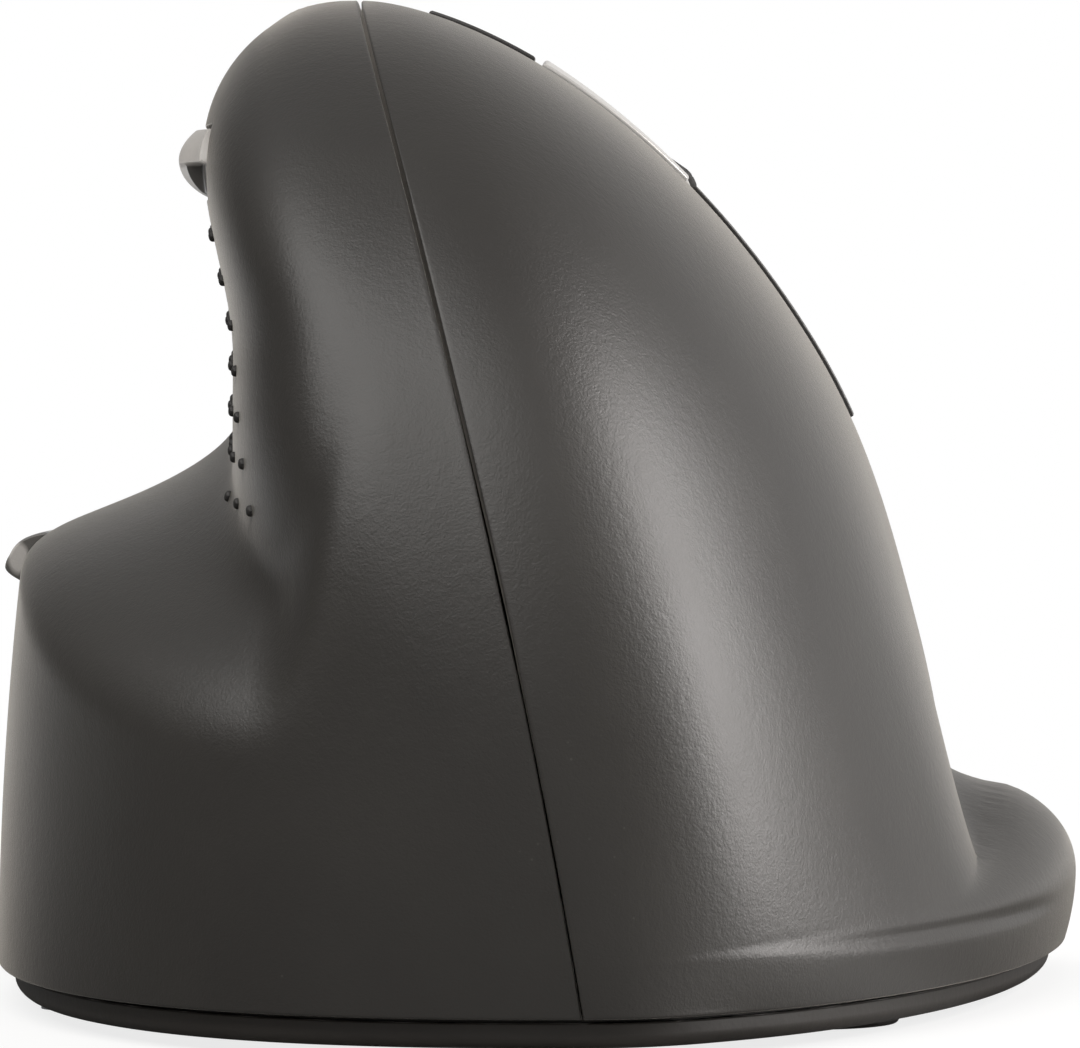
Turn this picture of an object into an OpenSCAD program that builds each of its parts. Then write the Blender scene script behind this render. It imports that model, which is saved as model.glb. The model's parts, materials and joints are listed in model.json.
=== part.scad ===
// Vertical mouse for the right hand, in millimetres.
// +Z is up, +Y points to the fingertips and -X is the thumb side.
// The origin lies on the desk under the middle of the base.

/* [Body] */
// Height of the crown above the desk
body_h = 71.2; // [69:0.2:75]
// Width over the thumb wall and the palm flange
body_w = 78.4; // [76:0.2:84]
// Length from heel to nose
body_l = 118; // [114:0.5:126]
// Wall thickness of both shells
wall = 2.2; // [1.8:0.1:2.6]
// Open joint line between the two shells
seam_gap = 0.5; // [0.3:0.05:0.8]
// Place of the joint line at desk level, from the middle
seam_foot_x = 2.9; // [2:0.1:4]
// Sideways lean of the joint line per millimetre of height
seam_lean = 0.16; // [0.14:0.005:0.18]
// Extra bow of the joint line
seam_bow = 0.00095; // [0.0007:0.00005:0.0012]
// Reach of the palm side out from the crown
palm_reach = 44.3; // [43:0.1:46]
// How far the palm side is drawn in low down
palm_draw = 0.95; // [0.6:0.05:1.3]
// Radius of the crown on the thumb side
crown_r = 10.7; // [10:0.1:12]
// How far forward of the middle the crown stands
crown_y = 2; // [0:0.5:4]

/* [Thumb rest] */
// Depth of the waist that the thumb lies against
waist = 2.5; // [1.8:0.1:3.2]
// Height over which the waist deepens
waist_h = 15; // [13:0.5:18]
// Height of the ledge at the outer wall
ledge_z = 32.6; // [31:0.2:34]
// Rise of the ledge towards the waist, per millimetre
ledge_rise = 0.4; // [0.34:0.01:0.46]
// Rounding of the outer edge of the ledge
ledge_edge = 3.6; // [3:0.1:4.4]
// Rounding where the ledge meets the waist
ledge_fillet = 9; // [7:0.5:11]
// Inward lean of the thumb wall at the ledge
wall_lean = 2; // [1:0.1:3]

/* [Palm flange] */
// Height of the flange rim
rim_z = 6.3; // [5.8:0.1:7]
// Further height of the rim at its right end
rim_rise = 1.5; // [1:0.1:2]
// Height of the domed flange above the rim, at the side
flange_h = 6.4; // [5.4:0.1:7.4]
// Height of the flange above the rim at heel and nose
flange_low = 2.4; // [2:0.1:3]
// Width of the domed flange
flange_w = 7.5; // [6.5:0.1:8.5]
// Rounding between flange and palm
flange_fillet = 8; // [6:0.5:10]

/* [Base] */
// Height of the glide feet, which lift the base off the desk
foot_h = 0.8; // [0.6:0.1:1.2]
// Diameter of a glide foot
foot_d = 14; // [11:0.5:16]
// Thickness of the base plate
base_t = 2; // [1.8:0.1:2.6]
// Dark line left open under the shells
base_line = 0.3; // [0.2:0.05:0.5]
// How far the base plate is set in under the shells
base_inset = 1.2; // [0.8:0.1:1.6]
// Height of the lip that locates the shells
lip_h = 2.2; // [1.6:0.1:3]
// Thickness of that lip
lip_t = 1.4; // [1:0.1:1.8]
// Shank diameter of the base screws
screw_d = 3; // [2.6:0.1:3.2]
// Depth that the base screws reach above the base plate
screw_reach = 6; // [5:0.5:6.5]
// Outer diameter of the screw bosses
boss_d = 6.4; // [6:0.1:7]

/* [Finger buttons] */
// Drop from the crown to the upper edge of the index button, at its rear
index_top_drop = 0.8; // [0.7:0.1:1.2]
// Drop from the crown to the line between index button and strip
index_low_drop = 4.5; // [4.2:0.1:5]
// Drop from the crown to the line between strip and middle button
strip_low_drop = 13.2; // [12.6:0.1:14]
// Drop from the crown to the lower edge of the middle button
middle_low_drop = 30.3; // [29:0.1:32]
// Angle round the body where the finger buttons start
finger_rear = -12; // [-16:1:-8]
// Angle round the body where the finger buttons end
finger_front = 76; // [74:1:80]
// Open line round every button
button_gap = 0.35; // [0.3:0.05:0.5]
// How far the strip stands proud
strip_proud = 1; // [0.6:0.1:1.2]
// Height of the finger buttons above the body
button_proud = 0.3; // [0.2:0.05:0.4]
// Diameter of the button hinge pins
hinge_pin_d = 2; // [1.6:0.1:2.2]
// Press angle of the finger buttons and of the wheel, in degrees
button_press = 0.9; // [0.6:0.1:1]

/* [Scroll wheel] */
// Diameter over the rubber tyre
wheel_d = 22; // [20:0.5:23]
// Width of the wheel
wheel_w = 5.2; // [4.6:0.1:5.6]
// How far the wheel stands out of the strip
wheel_proud = 2; // [1.6:0.1:2.6]
// Thickness of the rubber tyre
tyre_t = 2.4; // [1.8:0.1:3]
// Diameter of the wheel's axle
axle_d = 3; // [2.4:0.1:3.2]

/* [Thumb buttons] */
// Drop from the crown to the middle of the upper thumb button
upper_drop = 12; // [11.2:0.2:12.8]
// Height of the upper thumb button
upper_h = 5.2; // [4.6:0.1:5.6]
// Angle round the body of its front end
upper_front = 154; // [152:1:158]
// Angle round the body of its rear end
upper_rear = 241; // [238:1:244]
// How far the upper thumb button stands proud
upper_proud = 2; // [1.4:0.1:2.2]
// Height of the middle of the lower thumb button
lower_z = 31; // [30.4:0.2:31.6]
// Height of the lower thumb button
lower_h = 4.4; // [4:0.1:4.8]
// Angle round the body of its front end
lower_front = 148; // [144:1:150]
// Angle round the body of its rear end
lower_rear = 181; // [178:1:184]
// How far the lower thumb button stands proud
lower_proud = 1.7; // [1.2:0.1:2]
// Travel of the thumb buttons
thumb_travel = 0.4; // [0.3:0.05:0.5]

/* [Grip studs] */
// Diameter of a stud
stud_d = 0.8; // [0.7:0.1:1.2]
// How far a stud stands proud
stud_proud = 0.35; // [0.3:0.05:0.6]
// Pitch between studs, along and up
stud_pitch = 3.1; // [2.8:0.1:3.4]
// Distance from one stud to the next along a row
stud_along = 7; // [5:0.5:9]
// Rows of studs
stud_rows = 7; // [5:1:7]
// Drop from the crown to the top row
stud_drop = 17.2; // [16.2:0.2:18.2]

/* [Electronics] */
// Length of a microswitch
switch_l = 12.8; // [12:0.1:13.2]
// Width of a microswitch
switch_w = 5.8; // [5.4:0.1:6]
// Height of a microswitch body
switch_h = 6.5; // [6:0.1:6.6]
// Side of a thumb switch
tact_w = 6; // [5:0.1:6.4]
// Height of a thumb switch body
tact_h = 2.5; // [2.3:0.1:2.8]
// Thickness of every circuit board
board_t = 1.6; // [1.2:0.1:1.8]
// Depth of the button board's upper face under the strip
deck_depth = 14.4; // [14:0.1:15]
// Thickness of the frame's deck under that board
deck_t = 2.5; // [2:0.1:3]
// Diameter of the frame's columns
column_d = 7; // [6.4:0.1:8]
// Height of the main board's underside above the base plate
board_lift = 4.2; // [4:0.1:4.6]
// Width of the main board
board_w = 36; // [35:0.5:37]
// Length of the main board
board_l = 44; // [43:0.5:46]
// Width of the charging socket
socket_w = 9; // [8.6:0.1:9.4]
// Height of the charging socket
socket_h = 3.3; // [3.1:0.1:3.5]
// Depth of the charging socket
socket_l = 7.4; // [7:0.1:9]
// Width, length and height of the battery
battery = [30, 34, 6.4]; // [4:0.1:36]
// Travel of the power slider
power_travel = 2; // [1.5:0.1:2.5]

/* [Hidden] */
$fn = 48;
half_w = body_w / 2 - seam_gap / 2;
half_l = body_l / 2;
base_z = foot_h;
floor_z = base_z + base_t;
shell_z = floor_z;
thumb_mid_y = 9;
palm_mid_y = 20;
upper_z = body_h - upper_drop;
stud_top_z = body_h - stud_drop;
crown_x = seam_foot_x - seam_lean * body_h - seam_bow * body_h * body_h;
THUMB = -1;
PALM = 1;
tiny = 0.0001;
run_gap = 0.05;
press_gap = 0.15;
sheet_gap = 0.3;
lip_gap = 0.5;
edge_draft = 0.8;
stud_clear = 2;
finger_stem_d = 2.4;
finger_plate_t = 1.8;

// Blending helpers
function clamp01(t) = min(max(t, 0), 1);
function ease(t) = let (u = clamp01(t)) u * u * (3 - 2 * u);
function soft_min(a, b, k) = let (h = max(k - abs(a - b), 0) / k) min(a, b) - h * h * k / 4;
function soft_max(a, b, k) = -soft_min(-a, -b, k);
function unit(v) = v / norm(v);
function mix(a, b, t) = a + (b - a) * t;
function steps(a, b, n) = [for (k = [0:n - 1]) mix(a, b, k / n)];

// Outlines of the body at height z
function seam_x(z) = seam_foot_x - seam_lean * z - seam_bow * z * z;
function arch(z, p, q) = pow(max(1 - pow(clamp01(z / body_h), p), 0), 1 / q);
function palm_x(z) = crown_x + palm_reach * arch(z, 2.2, 1.6) - palm_draw * (1 - ease((z - 26) / 20));
function waist_x(z) =
    let (zc = body_h - crown_r)
    crown_x - sqrt(max(crown_r * crown_r - pow(max(z - zc, 0), 2), 0)) + waist * ease((zc - z) / waist_h);
function wall_x(z) = -half_w + wall_lean * pow(z / ledge_z, 2);
function rear_y(z) = crown_y - (half_l + crown_y) * arch(z, 3, 1.9);
function front_y(z) = crown_y + (half_l - crown_y) * arch(z, 2.6, 1.8);
function spine_y(side, z) = mix(side == THUMB ? thumb_mid_y : palm_mid_y, crown_y, z / body_h);
function reach_y(side, s, z) =
    (s < 0 ? spine_y(side, z) - rear_y(z) : front_y(z) - spine_y(side, z)) + tiny;
function polar(c, s, a, b, n) = pow(pow(abs(c / a), n) + pow(abs(s / b), n), -1 / n);

// Radius of the thumb side: a narrow waist above, a wide wall with a ledge below
function thumb_radius(c, s, z) =
    let (
        xs = seam_x(z),
        b = reach_y(THUMB, s, z),
        fullness = 2.5 + (s < 0 ? 1.7 : 0) * ease((z - 18) / 24) * (1 - ease((z - 50) / 20)),
        fin = polar(c, s, max(xs - waist_x(z), tiny), b, fullness),
        side_wall = polar(c, s, xs - wall_x(z), b, 2.55),
        lift = s < 0 ? 16 * ease((0.28 - abs(c)) / 0.2) : 0,
        rise = max(ledge_z + lift + ledge_rise * (xs - wall_x(ledge_z)) - z, 0),
        drop = (s < 0 ? 0.0043 : 0.002) * s * s,
        run = -ledge_rise * min(c, -tiny),
        ledge = 2 * rise / (run + sqrt(run * run + 4 * drop * rise)),
        blend = ease(abs(c) / 0.35) + 0.001,
        step = s < 0 ? fin : 1.5 * max(side_wall - fin, 0) + 0.01,
        edge = ledge_edge * (s < 0 ? 1 + s * s : 1)
    )
    soft_max(fin, soft_min(side_wall, ledge, edge), min(ledge_fillet * blend, 2 * min(fin, step)));

// Radius of the palm side: a leaning body that sweeps out to a flange at the desk
function palm_radius(c, s, z) =
    let (
        xs = seam_x(z),
        body = polar(c, s, max(palm_x(z) - xs, tiny), reach_y(PALM, s, z), 2),
        top = rim_z + rim_rise * c * c,
        full_rim = polar(c, s, half_w - xs, reach_y(PALM, s, 0), 1.66) - 0.03 * pow(max(top - z, 0), 2),
        rim = mix(body, full_rim, ease((c - 0.02) / 0.16)),
        over = max(z - top, 0),
        dome_h = mix(flange_low, flange_h, pow(c, 4)),
        u = clamp01(over / dome_h),
        flange = rim - flange_w * (1 - sqrt(1 - u * u)) - 6 * max(over - dome_h, 0),
        sweep = s < 0 ? 1 - ease((c - 0.5) / 0.45) : 0,
        swept = body + max(rim - body, 0) * exp(-over / 10) * sweep,
        blend = ease(abs(c) / 0.35) + 0.001,
        fillet = mix(flange_fillet, 1.5 * flange_fillet, s * s) * (1 - 0.9 * sweep)
    )
    soft_max(swept, flange, min(fillet * blend, 2 * body));

// Point of the outer surface at an angle round the spine and a height
function skin(side, phi, z) =
    let (
        c = cos(phi),
        s = sin(phi),
        r = side == THUMB ? thumb_radius(c, s, z) : palm_radius(c, s, z)
    )
    [seam_x(z) + side * seam_gap / 2 + r * c, spine_y(side, z) + r * s, z];

// Rows on the palm side slant forward and down, as the fingers do
function row_power(phi) = 1 - 0.5 * ease((phi - 15) / 65);
function row_of(drop) = drop / (body_h - shell_z);
function row_z(phi, row) = body_h - (body_h - shell_z) * pow(row, row_power(phi));
function spot(side, phi, v) = side == THUMB ? skin(side, phi, v) : skin(side, phi, row_z(phi, v));

// Directions on the surface: round the body, up the body, and outward
function side_mid(side) = side == THUMB ? 180 : 0;
function keep_angle(side, phi) = min(max(phi, side_mid(side) - 90), side_mid(side) + 90);
function keep_row(side, v) =
    side == THUMB ? min(max(v, shell_z), body_h - 0.02) : min(max(v, 0.0002), 1);
function along(side, phi, v) =
    unit(spot(side, keep_angle(side, phi + 0.4), v) - spot(side, keep_angle(side, phi - 0.4), v));
function upward(side, phi, v) =
    let (
        d = side == THUMB ? 0.15 : -0.0008,
        p = spot(side, phi, keep_row(side, v + d)) - spot(side, phi, keep_row(side, v - d))
    )
    unit(p);
function outward(side, phi, v) = unit(cross(along(side, phi, v), upward(side, phi, v)));
function flat_out(side, phi, z) =
    let (
        ahead = skin(side, keep_angle(side, phi + 0.4), z),
        behind = skin(side, keep_angle(side, phi - 0.4), z),
        t = unit(ahead - behind)
    )
    [t.y, -t.x, 0];

// A closed sheet between two grids of points, with cells left open where solid() is false
function cell_id(i, j, n, m, pole) = pole && j == m ? m * (n + 1) : j * (n + 1) + i;
function quad(a, b, c, d) = [[a, c, b], [a, d, c]];
module sheet(outer, inner, solid, pole = false) {
    n = len(outer[0]) - 1;
    m = len(outer) - 1;
    points = concat([for (row = outer) each row], [for (row = inner) each row]);
    o = len(points) / 2;
    id = function(i, j) cell_id(i, j, n, m, pole);
    open = function(i, j) i < 0 || j < 0 || i >= n || j >= m || !solid(i, j);
    cells = [for (j = [0:m - 1]) for (i = [0:n - 1]) if (solid(i, j)) [i, j]];
    faces = [
        for (q = cells)
        let (
            i = q[0],
            j = q[1],
            tip = pole && j == m - 1,
            a = id(i, j),
            b = id(i + 1, j),
            c = id(i + 1, j + 1),
            d = id(i, j + 1)
        )
        each concat(
            tip ? [[a, d, b], [a + o, b + o, d + o]]
                : concat(quad(a, b, c, d), quad(a + o, d + o, c + o, b + o)),
            open(i, j - 1) ? quad(b, a, a + o, b + o) : [],
            open(i + 1, j) ? quad(c, b, b + o, c + o) : [],
            open(i, j + 1) && !tip ? quad(d, c, c + o, d + o) : [],
            open(i - 1, j) ? quad(a, d, d + o, a + o) : []
        )
    ];
    polyhedron(points, faces, convexity = 8);
}

// How far a domed button stands out, as a share, from its lower edge (0) to its upper edge (1)
function bulge(v, peak) = max(0.1, v < peak ? sin(90 * v / peak) : cos(72 * (v - peak) / (1 - peak)));
// A patch of the body's surface, trimmed by a gap along its edges that widens inward. It is domed if it has a
// peak. A ramp lets it rise over its first columns, or fall over its last ones if the ramp is negative.
module patch(side, phis, rows, proud, depth, gap, peak = 0, ramp = 0) {
    n = len(phis) - 1;
    m = len(rows) - 1;
    edge = function(k, last) k == 0 ? 1 : (k == last ? -1 : 0);
    lift = function(k, j, off)
        let (trim = off < 0 ? gap + edge_draft : gap)
        spot(side, phis[k], rows[j])
        + along(side, phis[k], rows[j]) * edge(k, n) * trim
        + upward(side, phis[k], rows[j]) * edge(j, m) * trim
        + outward(side, phis[k], rows[j]) * off;
    out = [for (j = [0:m]) peak > 0 ? proud * bulge(j / m, peak) : proud];
    rise = [for (k = [0:n]) ramp == 0 ? 1 : mix(0.3, 1, ease((ramp > 0 ? k : n - k) / abs(ramp)))];
    outer = [for (j = [0:m]) [for (k = [0:n]) lift(k, j, out[j] * rise[k])]];
    inner = [for (j = [0:m]) [for (k = [0:n]) lift(k, j, -depth)]];
    sheet(outer, inner, function(i, j) true);
}
function spread(a, b, n) = [for (k = [0:n]) mix(a, b, k / n)];

// Local frames: a frame is [origin, x, y, z], with z outward and y forward
function frame_at(side, phi, v, forward) =
    let (
        z = outward(side, phi, v),
        t = forward * along(side, phi, v),
        y = unit(t - z * (t * z))
    )
    [spot(side, phi, v), cross(y, z), y, z];
function into(f, p) = let (d = p - f[0]) [d * f[1], d * f[2], d * f[3]];
function from(f, p) = f[0] + f[1] * p.x + f[2] * p.y + f[3] * p.z;
module in_frame(f) {
    multmatrix([
        [f[1].x, f[2].x, f[3].x, f[0].x],
        [f[1].y, f[2].y, f[3].y, f[0].y],
        [f[1].z, f[2].z, f[3].z, f[0].z],
        [0, 0, 0, 1]
    ]) children();
}
module block(x0, x1, y0, y1, z0, z1) {
    translate([x0, y0, z0]) cube([x1 - x0, y1 - y0, z1 - z0]);
}
module rod(d, x0, x1) {
    translate([x0, 0, 0]) rotate([0, 90, 0]) cylinder(d = d, h = x1 - x0);
}

// The deck is the plane under the strip that carries the wheel and the finger switches
index_row = row_of(mix(index_top_drop, index_low_drop, 0.42));
wheel_row = row_of(mix(index_low_drop, strip_low_drop, 0.46));
middle_row = row_of((strip_low_drop + middle_low_drop) / 2);
wheel_phi = 46;
index_phi = 63;
middle_phi = 48;
deck = frame_at(PALM, wheel_phi, wheel_row, 1);
deck_top = -deck_depth - board_t;
deck_low = deck_top - deck_t;
switch_top = -deck_depth + switch_h;
index_at = into(deck, spot(PALM, index_phi, index_row));
middle_at = into(deck, spot(PALM, middle_phi, middle_row));
index_root = into(deck, spot(PALM, finger_rear + 24, row_of(mix(index_top_drop, index_low_drop, 0.65))));
middle_root = into(deck, spot(PALM, finger_rear + 17, middle_row));
button_t = 2;
hub_d = hinge_pin_d + 3;
hinge_drop = button_t + hub_d / 2 + 3.2;
index_pin = [index_root.x, index_root.y, index_root.z - hinge_drop];
middle_pin = [middle_root.x, middle_root.y, middle_root.z - hinge_drop];
hub_w = 4;
lug_t = 1.8;
lug_reach = hub_w / 2 + sheet_gap + lug_t + 0.4;

// Wheel and cradle, in the deck's frame
wheel_z = strip_proud + wheel_proud - wheel_d / 2;
arm_t = 1.6;
arm_x = wheel_w / 2 + 0.8;
cradle_y = -wheel_d / 2 - 4.5;
cradle_z = wheel_z - 4;
cradle_pin_d = 2;
cradle_reach = arm_x + arm_t + sheet_gap;
bridge_y = wheel_d / 2 + 2;
bridge_w = 3;
wheel_switch_at = [0, bridge_y + bridge_w / 2, 0];
press_arm = max(index_at.y - index_pin.y, middle_at.y - middle_pin.y, wheel_switch_at.y - cradle_y);
stroke = press_arm * sin(button_press);
plunger_top = switch_top + stroke + press_gap;
plunger_foot = 1.2;
bridge_low = plunger_top + press_gap;
bridge_top = max(wheel_z + 1.3, bridge_low + 1.9);
slot_w = wheel_w + 1.2;
well_w = wheel_w + 1.6;
well_l = wheel_d - 2;
encoder_w = 3.4;
strip_depth = 2;

// Thumb buttons: each has a frame on the outer surface at its middle
upper_phi = mix(upper_front, upper_rear, 0.2);
lower_phi = (lower_front + lower_rear) / 2;
upper = frame_at(THUMB, upper_phi, upper_z + 0.3, -1);
lower = frame_at(THUMB, lower_phi, lower_z - 1, -1);
thumb_stem = 2.9;
thumb_plate = 1.4;
rib_w = 1.8;
hook_t = 1;
hook_out = 1.2;
leg_in = 1.5;
leg_l = 3;
tact_out = thumb_travel + 0.4;
tact_d = 3.2;
tact_foot = 0.8;
tact_top = -wall - thumb_stem;
thumb_board_top = tact_top - tact_out - tact_h;
thumb_board_t = 1;
thumb_board_low = thumb_board_top - thumb_board_t;
thumb_board_w = tact_w + 0.6;

// Places on the base
columns = [for (p = [[-9.5, -11], [9.5, -13.5], [9.5, 20]]) from(deck, [p.x, p.y, deck_low])];
boss_angles = [[THUMB, 150], [THUMB, 222], [PALM, -62], [PALM, 52]];
boss_h = screw_reach + 1;
function boss_at(b) =
    let (z = floor_z + boss_h)
    skin(b[0], b[1], z) - flat_out(b[0], b[1], z) * (wall + boss_d / 2 - 1);
function screw_spots() = concat(columns, [for (b = boss_angles) boss_at(b)]);
screw_head_d = screw_d + 2.6;
screw_head_h = 1.1;
board_x = -1;
board_y = 24;
board_z = floor_z + board_lift;
sensor_at = (columns[0] + columns[2]) / 2;
sensor_size = [9, 12, 2.6];
lens_size = [11, 15];
lens_t = 1.2;
window = [8, 9];
power_at = [-6, 40];
knob = [3, 4];
battery_y = -24;
standoffs = [for (sx = [-1, 1]) for (y = [board_y - board_l / 2 + 2.5, board_y + board_l / 2 - 12])
    [board_x + sx * (board_w / 2 - 3), y]];
board_screw_d = 2;
feet = [for (a = [40, 140, 220, 320]) [0.58 * half_w * cos(a), 0.7 * half_l * sin(a)]];
port_x = -9;
port_gap = 0.7;
port_side = 1.2;
port_low = board_z + board_t;
port_z = [port_low - port_gap, port_low + socket_h + port_gap];
function angle_across(x, z, lo, hi, n) =
    let (mid = (lo + hi) / 2, far = skin(THUMB, mid, z).x > x)
    n == 0 ? mid : angle_across(x, z, far ? mid : lo, far ? hi : mid, n - 1);
port_phi = [for (s = [1, -1])
    angle_across(port_x + s * (socket_w / 2 + port_side), port_low + socket_h / 2, 90, 170, 20)];
port_y = skin(THUMB, (port_phi[0] + port_phi[1]) / 2, port_low).y;

// Columns and rows of the thumb shell, with the edges of its openings on grid lines
thumb_phis = concat(
    steps(90, port_phi[0], 2), steps(port_phi[0], port_phi[1], 3), steps(port_phi[1], lower_front, 7),
    steps(lower_front, upper_front, 1), steps(upper_front, lower_rear, 5), steps(lower_rear, upper_rear, 12),
    steps(upper_rear, 270, 8), [270]
);
upper_rows = [upper_z - upper_h / 2, upper_z + upper_h / 2];
lower_rows = [lower_z - lower_h / 2, lower_z + lower_h / 2];
thumb_rows = concat(
    steps(shell_z, port_z[0], 2), steps(port_z[0], port_z[1], 1), steps(port_z[1], lower_rows[0], 7),
    steps(lower_rows[0], lower_rows[1], 4), steps(lower_rows[1], upper_rows[0], 10),
    steps(upper_rows[0], upper_rows[1], 2),
    [for (t = [0:5]) mix(upper_rows[1], body_h, sin(t * 15))]
);
function inside(v, lo, hi) = v > lo - tiny && v < hi - tiny;
function thumb_solid(i, j) =
    let (p = thumb_phis[i], z = thumb_rows[j])
    !(inside(p, upper_front, upper_rear) && inside(z, upper_rows[0], upper_rows[1]))
    && !(inside(p, lower_front, lower_rear) && inside(z, lower_rows[0], lower_rows[1]))
    && !(inside(p, port_phi[0], port_phi[1]) && inside(z, port_z[0], port_z[1]));

// Columns and rows of the palm shell; rows run from the desk (1) to the crown (0)
palm_phis = concat(
    steps(-90, finger_rear, 22), steps(finger_rear, finger_front, 18), steps(finger_front, 90, 4), [90]
);
rim_row = row_of(body_h - rim_z);
dome_row = row_of(body_h - rim_z - rim_rise - flange_h);
palm_rows = concat(
    steps(1, rim_row, 2), steps(rim_row, dome_row, 7), steps(dome_row, row_of(middle_low_drop), 7),
    steps(row_of(middle_low_drop), row_of(strip_low_drop), 5),
    steps(row_of(strip_low_drop), row_of(index_low_drop), 4),
    steps(row_of(index_low_drop), row_of(index_top_drop), 3), steps(row_of(index_top_drop), 0, 2)
);
function palm_solid(i, j) =
    !(inside(palm_phis[i], finger_rear, finger_front)
    && palm_rows[j] < row_of(middle_low_drop) + tiny && palm_rows[j] > row_of(index_top_drop) + tiny);

// A half shell: outer surface, inner surface one wall in, and a single point at the crown
function shell_grid(side, phis, rows, depth) = concat(
    [for (j = [0:len(rows) - 1]) [for (phi = phis)
        let (p = spot(side, phi, rows[j]))
        j == 0 ? p - flat_out(side, phi, p.z) * depth : p - outward(side, phi, rows[j]) * depth]],
    [[[crown_x + side * seam_gap / 2, crown_y, body_h - depth]]]
);
module shell_bosses(side) {
    for (b = boss_angles) if (b[0] == side) {
        p = boss_at(b);
        difference() {
            translate([p.x, p.y, floor_z]) cylinder(d = boss_d, h = boss_h);
            translate([p.x, p.y, floor_z - 1]) cylinder(d = screw_d + 2 * run_gap, h = screw_reach + 1.5);
        }
    }
}
module thumb_shell() {
    color("#4b4743") union() {
        sheet(shell_grid(THUMB, thumb_phis, thumb_rows, 0), shell_grid(THUMB, thumb_phis, thumb_rows, wall),
            function(i, j) thumb_solid(i, j), true);
        shell_bosses(THUMB);
    }
}
module palm_shell() {
    color("#4e4a46") union() {
        sheet(shell_grid(PALM, palm_phis, palm_rows, 0), shell_grid(PALM, palm_phis, palm_rows, wall),
            function(i, j) palm_solid(i, j), true);
        shell_bosses(PALM);
    }
}

// Outline of the base at the foot of the shells, moved in by an inset
function base_outline(inset) = [
    for (side = [PALM, THUMB]) for (k = [0:36])
    let (
        phi = side_mid(side) - 90 + k * 5,
        p = skin(side, phi, shell_z) - flat_out(side, phi, shell_z) * inset
    )
    [p.x, p.y]
];
module base_slab(inset, z0, z1) {
    translate([0, 0, z0]) linear_extrude(z1 - z0) polygon(base_outline(inset));
}
module screw_holes() {
    for (p = screw_spots()) {
        translate([p.x, p.y, base_z - 1]) cylinder(d = screw_d + 0.4, h = base_t + 2);
        translate([p.x, p.y, base_z - 1]) cylinder(d = screw_head_d + 0.4, h = 1 + screw_head_h);
    }
}
module base_plate() {
    bevel = 0.9;
    back = from(lower, [0, 0, thumb_board_low]);
    color("#2b2826") difference() {
        union() {
            base_slab(base_inset + bevel, base_z, base_z + bevel / 2);
            base_slab(base_inset + bevel / 2, base_z + bevel / 2, base_z + bevel);
            base_slab(base_inset, base_z + bevel, floor_z - base_line);
            base_slab(base_inset + 0.5, floor_z - base_line, floor_z);
            difference() {
                base_slab(wall + lip_gap, floor_z, floor_z + lip_h);
                base_slab(wall + lip_gap + lip_t, floor_z - 1, floor_z + lip_h + 1);
                for (b = boss_angles) translate([boss_at(b).x, boss_at(b).y, floor_z]) {
                    cylinder(d = boss_d + 2 * sheet_gap, h = lip_h + 1);
                }
            }
            for (s = standoffs) translate([s.x, s.y, floor_z]) cylinder(d = 5, h = board_lift);
            difference() {
                translate([back.x, back.y, floor_z]) cylinder(d = 6, h = back.z);
                in_frame(lower) block(-30, 30, -30, 30, thumb_board_low, 60);
            }
            battery_tray();
        }
        screw_holes();
        for (s = standoffs) translate([s.x, s.y, floor_z + 0.5]) {
            cylinder(d = board_screw_d + 2 * run_gap, h = board_lift);
        }
        sensor_window();
        power_slot();
    }
}
module sensor_window() {
    translate([sensor_at.x, sensor_at.y, 0]) {
        block(-window.x / 2, window.x / 2, -window.y / 2, window.y / 2, 0, port_low + 1);
    }
}
module battery_tray() {
    for (sx = [-1, 1]) translate([sx * (battery.x / 2 + sheet_gap + 0.6), battery_y, floor_z]) {
        block(-0.6, 0.6, -battery.y / 3, battery.y / 3, 0, battery.z / 2);
    }
}
module power_slot() {
    half_x = knob.x / 2 + sheet_gap;
    half_y = knob.y / 2 + power_travel / 2 + sheet_gap;
    translate([power_at.x, power_at.y, 0]) block(-half_x, half_x, -half_y, half_y, 0, floor_z + 1);
}
module glide_feet() {
    color("#3a3836") for (p = feet) translate([p.x, p.y, 0]) cylinder(d = foot_d, h = foot_h);
}
module pan_screw(d, head_d, head_h, reach) {
    difference() {
        union() {
            cylinder(d = head_d, h = head_h);
            cylinder(d = d, h = reach);
        }
        for (a = [0, 90]) rotate([0, 0, a]) {
            block(-head_d * 0.3, head_d * 0.3, -0.35, 0.35, -1, head_h * 0.6);
        }
    }
}
module base_screws() {
    color("#8d8d90") for (p = screw_spots()) translate([p.x, p.y, base_z]) {
        pan_screw(screw_d, screw_head_d, screw_head_h, base_t + screw_reach);
    }
}

// Frame: three columns on the base, a slanted deck, and the lugs of all hinge pins
module lug(x0, x1, at, d) {
    block(x0, x1, at.y - d / 2, at.y + d / 2, deck_low, at.z);
    translate([0, at.y, at.z]) rod(d, x0, x1);
}
module pair_of_lugs(at, half_gap, d, hole) {
    difference() {
        for (s = [-1, 1]) {
            x = at.x + s * (half_gap + lug_t / 2);
            lug(x - lug_t / 2, x + lug_t / 2, at, d);
        }
        translate([0, at.y, at.z]) rod(hole + 2 * run_gap, at.x - 30, at.x + 30);
    }
}
module deck_plan(margin) {
    left = index_at.x - switch_w / 2 - margin;
    right = middle_at.x + switch_w / 2 + margin;
    difference() {
        union() {
            translate([left, index_at.y - switch_l / 2 - margin]) {
                square([well_w / 2 + 2 - left, switch_l + 2 * margin]);
            }
            translate([-switch_l / 2 - margin, 0]) {
                square([right + switch_l / 2 + margin, wheel_switch_at.y + switch_w / 2 + margin]);
            }
            translate([right - switch_w - 2 * margin, 0]) {
                square([switch_w + 2 * margin, middle_at.y + switch_l / 2 + margin]);
            }
        }
        square([well_w, well_l], center = true);
    }
}
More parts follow.
